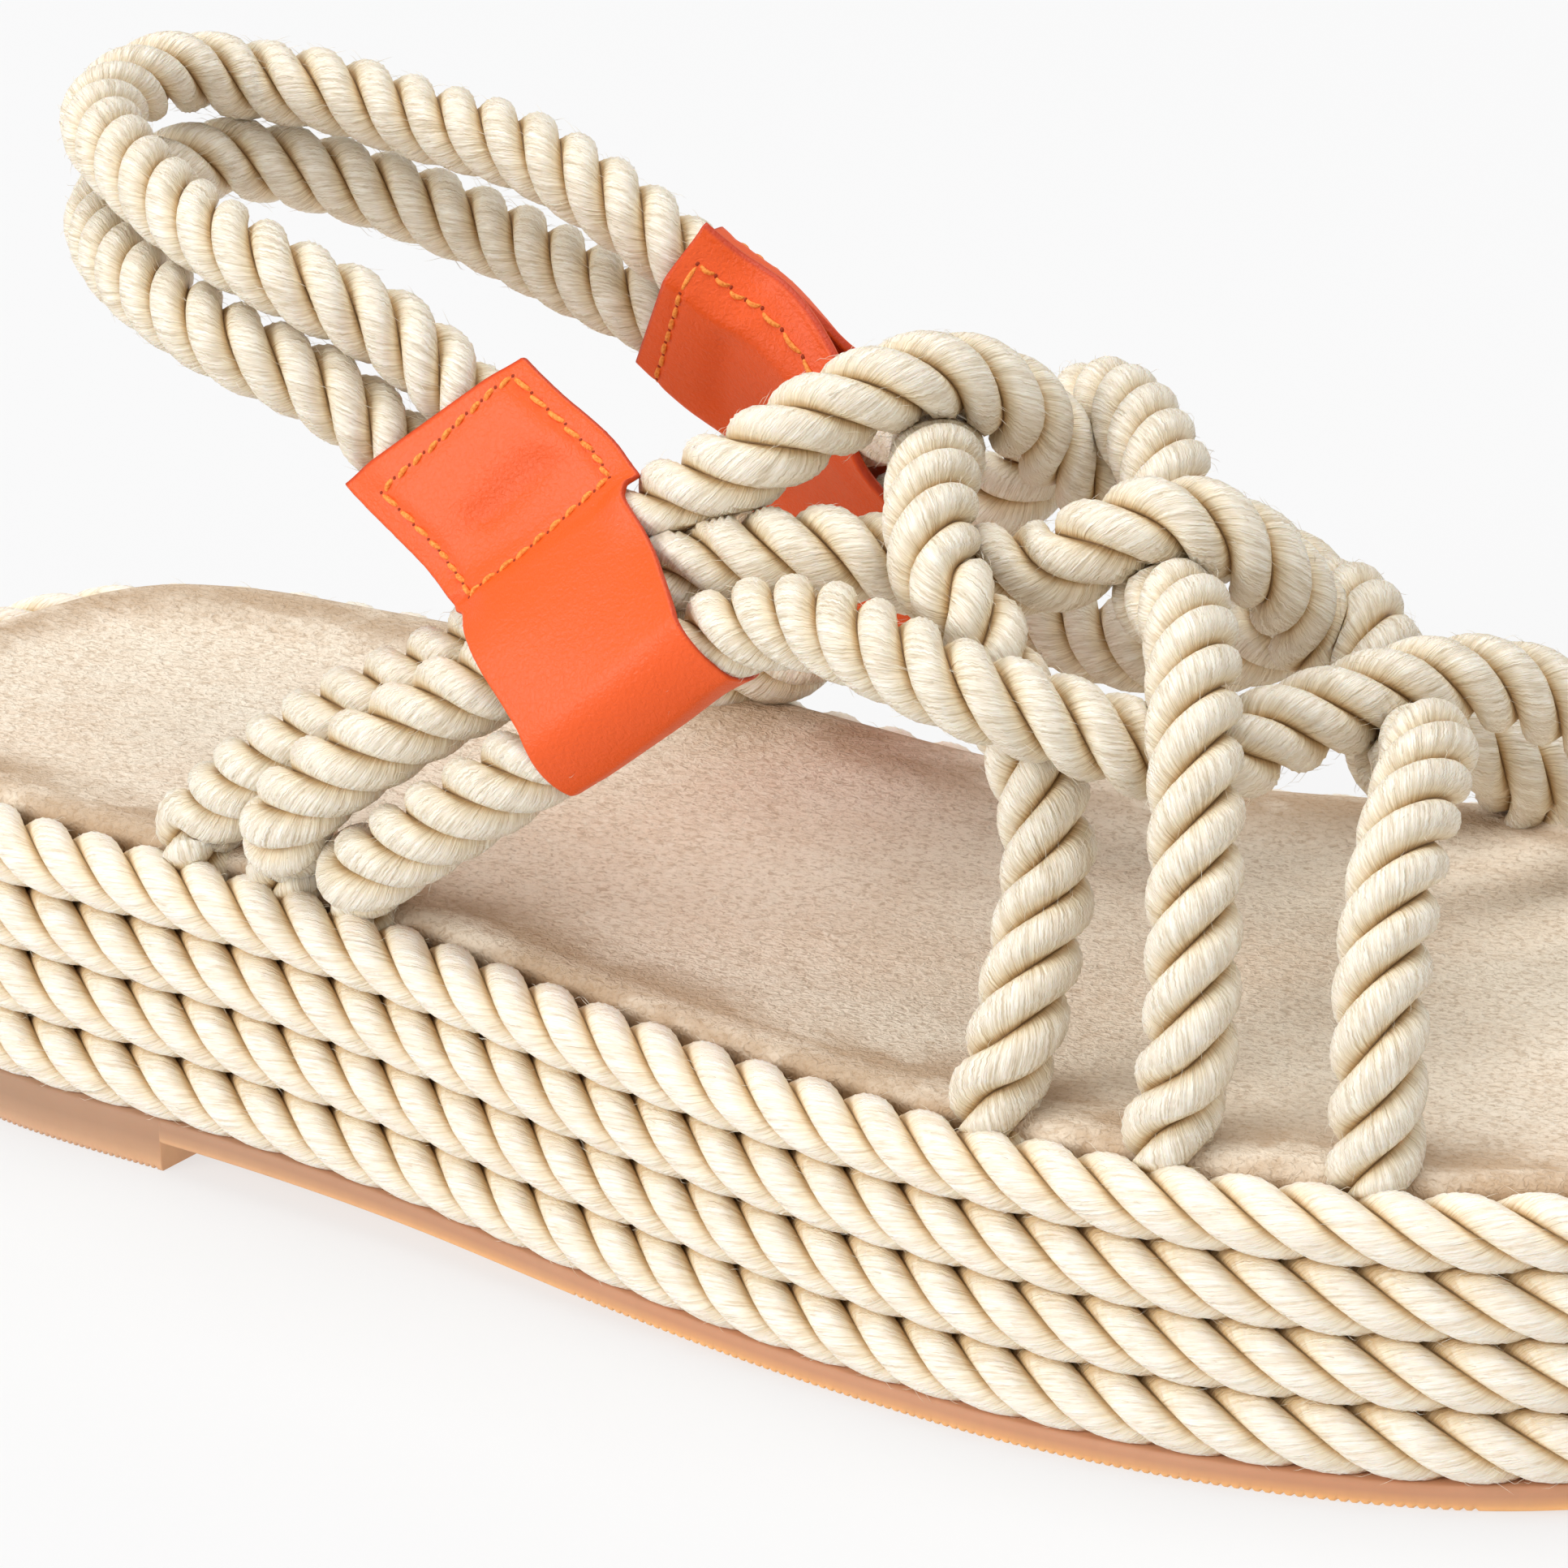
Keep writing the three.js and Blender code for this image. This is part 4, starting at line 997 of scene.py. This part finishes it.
class Tab:
    """A leather band over the three ropes of one side, folded under the third."""

    def __init__(self, routes, side, table, corners):
        self.seams = list(zip(corners, corners[1:] + corners[:1]))
        self.side = side
        self.table = dict(zip(TAB_COLUMNS, zip(*table)))
        self.slings = []
        for entry in (SLING_MOUTH, 0):
            index = -1 - entry if side > 0 else entry
            above, below = place([SLING_UPPER[index]])[0], place([SLING_LOWER[index]])[0]
            self.slings.append(((above + below) / 2, unit(above - below)))
        self.ropes = []
        for route in routes:
            line = dense(route_points(route, side))
            lengths = lengths_of(line)
            self.ropes.append((line, lengths, lengths[40 * (3 + route["tab"])]))

    def lines(self, shares, hull):
        lines = [middle + across * shares[:, None] * TAB_WIDTH / 2 for middle, across in self.slings]
        for line, lengths, centre in self.ropes:
            lines.append(at_length(line, lengths, centre + shares * TAB_LOOP_WIDTH / 2))
        if hull:
            lines[2] = (lines[1] + lines[3]) / 2
        return np.array(lines)

    def row(self, t, angle, across):
        """Points of the middle surface, the way out of it and the room there. across runs from 0
        to 1 between the edges, angle from 0 to pi round the fold."""
        where = t if t < 1 else 1 + FOLD_SHARE * math.sin(angle)
        spread = TABLE_SOFTEN * min(1, abs(where - EDGE_STEP) / EDGE_STEP_SPAN)
        places = where + spread * TABLE_SPREAD
        high_key = "high" if angle < math.pi / 2 else "high_in"
        low, high, middle, low_room, high_room, lean = (
            float(np.mean(np.interp(places, self.table["down"], self.table[key])))
            for key in ("low", high_key, "middle", "low_room", "high_room", "lean")
        )
        lines = self.lines(low + (high - low) * across, hull=angle < math.pi / 2)
        at = lines_at(lines, t)
        down = unit(lines_at(lines, min(t + 0.004, 1)) - lines_at(lines, t - 0.004))
        way = unit(np.gradient(at, axis=0))
        out = unit(np.cross(way, down) * self.side)
        turn = math.cos(angle)
        edge = np.where(across < 0.5, low_room, high_room) + lean * turn
        room = middle + (edge - middle) * smooth(0.6, 1, np.abs(2 * across - 1))
        swing = out * math.copysign(abs(turn) ** (1 + FOLD_PINCH), turn)
        swing = swing + down * math.sin(angle) * FOLD_REACH
        return at, swing, room

    def skin(self, t, angle, across, thickness):
        at, swing, room = self.row(t, angle, across)
        press = np.zeros(len(across))
        if t < 1:
            sewn = np.minimum.reduce([to_segment(t, across, a, b) for a, b in self.seams])
            dent = to_segment(t, across, *DENT)
            press = SEAM_PRESS * np.exp(-((sewn / SEAM_SPREAD) ** 2))
            press = press + DENT_PRESS * np.exp(-((dent / DENT_SPREAD) ** 2))
        return at + swing * (room - press + thickness)[:, None]

    def grain_and_shade(self, t, angle, across):
        """How much the grain shows, and how much painted shade darkens the leather: in the dent, in the
        hem and round the fold.
        """
        if angle > 0:
            return np.full(len(across), PLAIN_GRAIN_AND_SHADE)
        dent = np.exp(-((to_segment(t, across, *DENT) / DENT_GRAIN_AND_SHADE_SPREAD) ** 2))
        hem = HEM_GRAIN_AND_SHADE * np.maximum(smooth(0.87, 0.95, across), 1 - smooth(0.02, 0.09, across))
        low = PLAIN_GRAIN_AND_SHADE * smooth(0.72, 0.85, t) + 0 * across
        top = HEM_GRAIN_AND_SHADE * (1 - smooth(-0.01, 0.03, t)) + 0 * across
        return np.maximum.reduce([dent, hem, low, top])


def tab_mesh(tab):
    """The band's skin: down its outer layer, round the fold and back up its inner layer."""
    across = np.concatenate([[0, 0.008], np.linspace(0.022, 0.978, 62), [0.992, 1]])
    half = 100
    path = [(t, 0.0) for t in np.linspace(TAB_START, 1, half)]
    path += [(1.0, angle) for angle in np.linspace(0, math.pi, 22)[1:-1]]
    path += [(t, math.pi) for t in np.linspace(1, TAB_START, half)]
    rough = np.random.default_rng(31 + tab.side)
    edge = (across < 0.001) | (across > 0.999)
    rings, cuts, creases = [], [], []
    for index, (t, angle) in enumerate(path):
        ragged = across + np.where(edge, rough.normal(0, RAGGED, len(across)), 0) / TAB_WIDE
        outer = tab.skin(t, angle, ragged, np.where(edge, SKIN * (1 - CUT_ROUND), SKIN))
        inner = tab.skin(t, angle, ragged, np.where(edge, SKIN * CUT_ROUND, 0.0))
        rings.append(np.vstack([outer, inner[::-1]]))
        end = index in (0, len(path) - 1)
        cut = np.ones(len(across)) if end else np.where(edge, 1.0, 0.0)
        cuts.append(np.concatenate([cut, cut[::-1]]))
        grain_and_shade = tab.grain_and_shade(t, angle, across)
        creases.append(np.concatenate([grain_and_shade, grain_and_shade[::-1]]))
    points = np.array(rings)
    count = points.shape[1]
    faces = skin_faces(len(rings), count)
    if tab.side > 0:
        faces = [face[::-1] for face in faces]
    return points.reshape(-1, 3), faces, np.array(cuts).reshape(-1), np.array(creases).reshape(-1)


STITCH_PITCH, STITCH_LENGTH, STITCH_THICKNESS, STITCH_SIDES = 1.97, 1.62, 0.5, 8
STITCH_SLANT = 0.16  # sideways, of each end
STITCH_SWAY = 0.002  # as a share of the tab
INNER_SEAM_REACH, INNER_SLANT = 0.88, 0.4  # the inner tab's far face is narrower there


def stitch(start, end, out, radius, rows):
    """A short thread along a line, its ends sunk into the leather."""
    way = end - start
    across = unit(np.cross(out, way))
    points = []
    for share, thick, lift in rows:
        for j in range(STITCH_SIDES):
            angle = 2 * math.pi * j / STITCH_SIDES
            ring = across * math.cos(angle) + out * math.sin(angle)
            points.append(start + way * share + (out * lift + ring * thick) * radius)
    return np.array(points), skin_faces(len(rows), STITCH_SIDES, flip=True)


THREAD_ROWS = (
    (0.0, 0.5, -0.7), (0.1, 0.85, -0.2), (0.3, 1, 0.35), (0.5, 1.05, 0.5), (0.7, 1, 0.35),
    (0.9, 0.85, -0.2), (1.0, 0.5, -0.7),
)
# Shape of the dark bead of painted shade sunk in each stitch hole
HOLE_SHADE_ROWS = ((0.0, 0.4, -0.6), (0.25, 0.9, -0.5), (0.75, 0.9, -0.5), (1.0, 0.4, -0.6))


def stitches(tab):
    """Threads along the sewn line on both layers, and between them dark beads of painted shade in the
    holes.
    """
    parts = []
    sway = np.random.default_rng(11 + tab.side)
    half = STITCH_LENGTH / STITCH_PITCH / 2
    # Place along the pitch and share of the slant: a thread's two ends, then the two ends of the dark
    # bead of painted shade in the hole after it
    spots = ((-half, -1), (half, 1), (0.42, 1), (0.58, 0))
    for angle in (0.0, math.pi):
        reach = INNER_SEAM_REACH if tab.side > 0 and angle == 0 else 1.0
        for a, b in tab.seams:
            a, b = np.array(a) * (1, reach), np.array(b) * (1, reach)
            way = (b - a) * (TAB_LONG, TAB_WIDE)
            size = np.linalg.norm(way)
            slant = np.array([-way[1], way[0]]) / size * STITCH_SLANT / (TAB_LONG, TAB_WIDE)
            slant = slant * (1.0 if tab.side < 0 else INNER_SLANT)
            count = int(round(size / STITCH_PITCH))
            for i in range(count):
                off = sway.normal(0, STITCH_SWAY, 2)
                ends, outs = [], []
                for shift, tilt in spots:
                    t, s = a + (b - a) * (i + 0.5 + shift) / count + off + slant * tilt
                    near = np.array([s - 0.01, s, s + 0.01])
                    ends.append(tab.skin(t, angle, near, SKIN)[1])
                    outs.append(tab.skin(t, angle, near, SKIN + 1)[1] - ends[-1])
                for first, rows, hole_shade in ((0, THREAD_ROWS, 0.0), (2, HOLE_SHADE_ROWS, 1.0)):
                    out = unit(outs[first])
                    part = stitch(ends[first], ends[first + 1], out, STITCH_THICKNESS / 2, rows)
                    parts.append((*part, np.full(len(part[0]), hole_shade)))
    return parts


for name, tab in (
    ("outer", Tab(OUTER, -1, OUTER_TAB, SEWN)), ("inner", Tab(INNER, 1, INNER_TAB, SEWN_INNER)),
):
    make_piece(
        f"leather_tab_{name}", [tab_mesh(tab)], orange, f"strap_tab_{name}",
        (("cut", "FLOAT"), ("grain_and_shade", "FLOAT")),
    )
    make_piece(
        f"stitches_{name}", stitches(tab), thread,
        attributes=(("hole_shade", "FLOAT"),),
    )

# The core is carried over from the frame and only gets its material
core = bpy.data.objects["midsole"]
core.data.materials.clear()
core.data.materials.append(board)

# Floor and light
FLOOR_SIZE = 8  # metres
FLOOR_GLOW = 0.672
WORLD_GLOW = 0.48
LIGHT_TARGET = (60, 0, 20)
LIGHTS = (
    # name, place, size, power
    ("key", (-1500, -2600, 1350), (2400, 1500), 69),
    ("fill", (2400, -1700, 1300), (2000, 1600), 14),
    ("top", (100, 300, 3000), (2400, 2400), 58),
)

bpy.ops.mesh.primitive_plane_add(size=FLOOR_SIZE, location=(0, 0, 0))
floor = bpy.context.object
floor.name = "floor"
pale = Nodes(
    "pale floor", Roughness=0.9, Base_Color=(0.2, 0.2, 0.201, 1), Emission_Color=(1, 1, 1, 1),
    Emission_Strength=FLOOR_GLOW,
)
floor.data.materials.append(pale.material)

bpy.context.scene.view_settings.view_transform = "Standard"

world = bpy.data.worlds.new("studio")
bpy.context.scene.world = world
world.use_nodes = True
background = world.node_tree.nodes["Background"]
socket(background, "Color", (1, 1, 1, 1))
socket(background, "Strength", WORLD_GLOW)


def area_light(name, place_mm, size_mm, power):
    data = bpy.data.lights.new(name, "AREA")
    data.shape = "RECTANGLE"
    data.size, data.size_y = (size * MM for size in size_mm)
    data.energy = power
    light = bpy.data.objects.new(name, data)
    bpy.context.scene.collection.objects.link(light)
    at, target = Vector(place_mm) * MM, Vector(LIGHT_TARGET) * MM
    light.location = at
    light.rotation_mode = "QUATERNION"
    light.rotation_quaternion = (target - at).to_track_quat("-Z", "Y")


# Camera, as measured from the photo
AZIMUTH, ELEVATION, ROLL = (math.radians(a) for a in (38.3, 20.35, -3.44))
TARGET = np.array([60.9, 25.0, 25.0])
DISTANCE = 1218.0
FOCUS = 15400.0
PHOTO = 1932.0
SENSOR = 36
CLIP = (0.05, 50)  # metres
back = np.array([
    math.sin(AZIMUTH) * math.cos(ELEVATION),
    -math.cos(AZIMUTH) * math.cos(ELEVATION),
    math.sin(ELEVATION),
])
right = np.array([math.cos(AZIMUTH), math.sin(AZIMUTH), 0.0])
up = np.cross(back, right)
right, up = (
    math.cos(ROLL) * right + math.sin(ROLL) * up,
    -math.sin(ROLL) * right + math.cos(ROLL) * up,
)
camera_data = bpy.data.cameras.new("camera")
camera_data.sensor_width = SENSOR
camera_data.lens = SENSOR * FOCUS / PHOTO
camera_data.clip_start, camera_data.clip_end = CLIP
camera = bpy.data.objects.new("camera", camera_data)
bpy.context.scene.collection.objects.link(camera)
place_at = (TARGET + back * DISTANCE) * MM
turned = np.column_stack([right, up, back, place_at])
camera.matrix_world = Matrix([*turned.tolist(), [0, 0, 0, 1]])
bpy.context.scene.camera = camera

for light in LIGHTS:
    area_light(*light)
